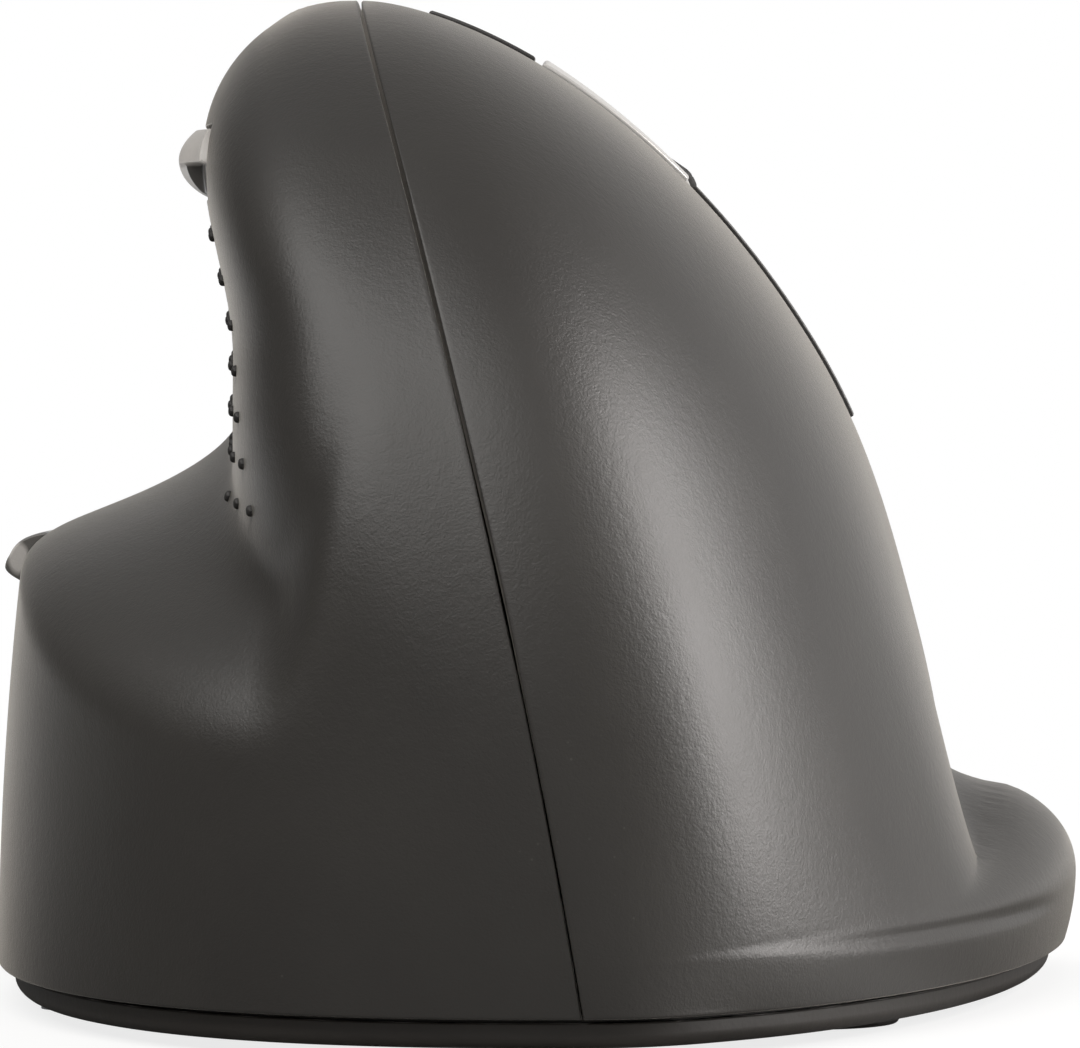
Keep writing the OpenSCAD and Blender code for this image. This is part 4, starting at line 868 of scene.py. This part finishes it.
# %% Steel, board and lens
def steel(name):
    f = finish(name)
    lines = f.node("ShaderNodeTexNoise", {"noise_dimensions": "3D"}, {
        "Vector": f.node("ShaderNodeMapping", None, {"Vector": f.place(), "Scale": (300, 4000, 4000)}),
        "Scale": 1.0, "Detail": 2.0}, "Fac")
    stain = f.limit(f.noise(220, 3), 0.45, 0.7)
    return f.surface(Base_Color=f.blend(stain * 0.5 + lines * 0.4, colour(190, 193, 198), colour(160, 162, 166)),
                     Roughness=0.24 + lines * 0.12 + stain * 0.06, Metallic=1.0, Normal=f.bump(lines, 0.00002, 0.3))


def solder_mask(name):
    """Green mask, lighter where it covers tracks: tracks are bands of a wave, gated by large soft patches."""
    f = finish(name)
    wave = f.node("ShaderNodeTexWave", {"wave_type": "BANDS", "bands_direction": "DIAGONAL"},
                  {"Vector": f.place(), "Scale": 260.0, "Distortion": 1.2, "Detail": 1.0}, "Fac")
    tracks = f.limit(wave, 0.62, 0.68) * f.limit(f.noise(110, 1), 0.42, 0.5)
    weave = f.noise(2600, 2)
    base = f.blend(weave * 0.5, colour(20, 70, 40), colour(28, 84, 50))
    return f.surface(Base_Color=f.blend(tracks * 0.8, base, colour(62, 122, 74)), Roughness=0.34 + weave * 0.1,
                     Normal=f.bump(tracks + weave * 0.2, 0.00004, 0.5))


def clear_lens(name):
    f = finish(name)
    haze = f.limit(f.noise(500, 3), 0.4, 0.75)
    return f.surface(Base_Color=f.blend(haze, colour(72, 66, 64), colour(96, 88, 86)), Roughness=0.08 + haze * 0.1,
                     Normal=f.bump(haze, 0.00002, 0.2), IOR=1.49)


steel_finish, board_finish, lens_finish = steel("pin_steel"), solder_mask("board_mask"), clear_lens("lens_plastic")

# %% [markdown]
# Every piece and every solid that stays in view now gets its finish. The solids keep their meshes, and only
# the material in their slots changes.

# %% Dress the pieces
by_slot = {"soft_shell": shell_finish, "base": base_finish, "strip": strip_finish, "button": button_finish,
           "thumb_button": thumb_finish, "stud": stud_finish, "frame": frame_finish, "steel": steel_finish,
           "glide": glide_finish, "board": board_finish, "black_part": black_finish, "lens": lens_finish,
           "cell": cell_finish, "plunger": plunger_finish, "tyre": tyre_finish, "hub": hub_finish}
for piece, slot in ((thumb_shell, "soft_shell"), (palm_shell, "soft_shell"), (index_button, "button"),
                    (middle_button, "button"), (centre_strip, "strip"), (upper_button, "thumb_button"),
                    (lower_button, "thumb_button"), (grip_studs, "stud"), (wheel_tyre, "tyre"), (glide_feet, "glide"),
                    (base_band, "base"), (socket_tongue, "black_part")):
    piece.data.materials.append(by_slot[slot])
slot_of = {node: row["slot"] for row in frame["record"]["materials"] for node in row.get("nodes", [])}
for name, solid_node in frame["nodes"].items():
    for k, old in enumerate(solid_node.data.materials):
        slot = slot_of.get(name) or (old.name.split(".")[0] if old else "")
        if slot in by_slot:
            solid_node.data.materials[k] = by_slot[slot]
        else:
            print("no slot for", name, old.name if old else None)
print("dressed", len(frame["nodes"]), "solids")

# %% [markdown]
# The photograph looks level at the back of the mouse from a little over half a metre, with a long lens. The
# camera stands at the height where its horizon falls, and a small shift frames the mouse as the photograph
# does.

# %% Camera
camera = bpy.data.objects.new("camera", bpy.data.cameras.new("camera"))
bpy.context.scene.collection.objects.link(camera)
camera.location = (0, -0.594, 0.047)
camera.rotation_euler = (math.pi / 2, 0, 0)
camera.data.sensor_fit, camera.data.sensor_width = "HORIZONTAL", 36
camera.data.lens = 275.6
camera.data.shift_x, camera.data.shift_y = -0.0046, -0.173
bpy.context.scene.camera = camera

# %% [markdown]
# The studio is a white table and a white backdrop. A tall softbox stands to the right, and its reflection
# is the long soft highlight down the palm side. A wide, weaker one hangs above for the crown and the ledge.
# The backdrop behind the mouse lights the edges that turn away, and the side of the camera stays dark. In
# reflections the table is dark too, except far behind the mouse and close beside its right rear, where the
# flange mirrors it.

# %% Lights, floor and background
def softbox(name, azimuth, elevation, distance, size, watts, tint):
    """An area lamp aimed at the mouse. Azimuth is counted from the camera towards +X."""
    lamp = bpy.data.lights.new(name, "AREA")
    lamp.shape, lamp.size, lamp.size_y = "RECTANGLE", *size
    lamp.energy, lamp.color = watts, tint
    a, e = math.radians(azimuth), math.radians(elevation)
    way = Vector((math.sin(a) * math.cos(e), -math.cos(a) * math.cos(e), math.sin(e)))
    holder = bpy.data.objects.new(name, lamp)
    bpy.context.scene.collection.objects.link(holder)
    holder.location = way * distance + Vector((0, 0, 0.035))
    holder.rotation_euler = way.to_track_quat("Z", "Y").to_euler()
    return holder


softbox("softbox_right", 95, 23, 1.1, (0.40, 0.85), 15.2, (1.0, 0.965, 0.945))
softbox("softbox_top", -38, 56, 1.2, (1.7, 1.0), 17.5, (1.0, 0.98, 0.955))

floor_mesh = bpy.data.meshes.new("floor")
floor_mesh.from_pydata([(-3, -3, 0), (3, -3, 0), (3, 3, 0), (-3, 3, 0)], [], [[0, 1, 2, 3]])
floor = bpy.data.objects.new("floor", floor_mesh)
bpy.context.scene.collection.objects.link(floor)
f = finish("table_white")
paper = f.blend(f.noise(900, 3), (0.86, 0.86, 0.85, 1), (0.9, 0.9, 0.89, 1))
glossy = f.node("ShaderNodeLightPath", output="Is Glossy Ray")
floor_x, floor_y = (f.node("ShaderNodeSeparateXYZ", None, {"Vector": f.place()}, axis) for axis in "XY")
beside = f.limit(floor_x, 0.015, 0.04) * f.limit(floor_x, 0.16, 0.08) * f.limit(floor_y, -0.015, -0.035)
paper = f.blend(glossy * (0.85 - beside * 0.7), paper, (0.02, 0.02, 0.02, 1))
table = f.node("ShaderNodeBsdfDiffuse", None, {"Color": paper})
white = f.node("ShaderNodeEmission", None, {"Color": (1, 1, 1, 1), "Strength": 1.0})
seen = f.node("ShaderNodeLightPath", output="Is Camera Ray")
far = f.limit(f.node("ShaderNodeVectorMath", {"operation": "LENGTH"}, {0: f.place()}, "Value"), 0.06, 0.25)
behind = f.limit(floor_y, 0.1, 0.5)
share = seen * (0.8 + far * 0.2) + glossy * behind
f.put(f.out.inputs["Surface"], f.node("ShaderNodeMixShader", None, {0: share, 1: table, 2: white}))
floor_mesh.materials.append(f.owner)

world = bpy.data.worlds.new("studio")
bpy.context.scene.world = world
world.use_nodes = True
w = Finish(world, world.node_tree, "ShaderNodeOutputWorld")
path = {name: w.node("ShaderNodeLightPath", output=name)
        for name in ("Is Camera Ray", "Is Glossy Ray", "Is Transmission Ray")}
way = w.node("ShaderNodeTexCoord", output="Generated")
aside, ahead, high = (w.node("ShaderNodeSeparateXYZ", None, {"Vector": way}, axis) for axis in "XYZ")
backdrop = w.limit(ahead * 0.98 + aside * 0.2, 0.77, 0.95) * (1 - w.limit(high, 0.2, 0.55) * 0.5)
shine = path["Is Glossy Ray"] * (0.06 + w.limit(high, 0.1, 0.7) * 0.22 + backdrop * 0.72)
seen = w.limit(path["Is Camera Ray"] + path["Is Transmission Ray"], 0, 1)
strength = seen + (1 - seen) * (shine + (1 - path["Is Glossy Ray"]) * 0.32)
sky = w.node("ShaderNodeBackground", None, {"Color": (1, 1, 1, 1), "Strength": strength})
w.put(w.out.inputs["Surface"], sky)
bpy.context.scene.view_settings.view_transform = "Standard"
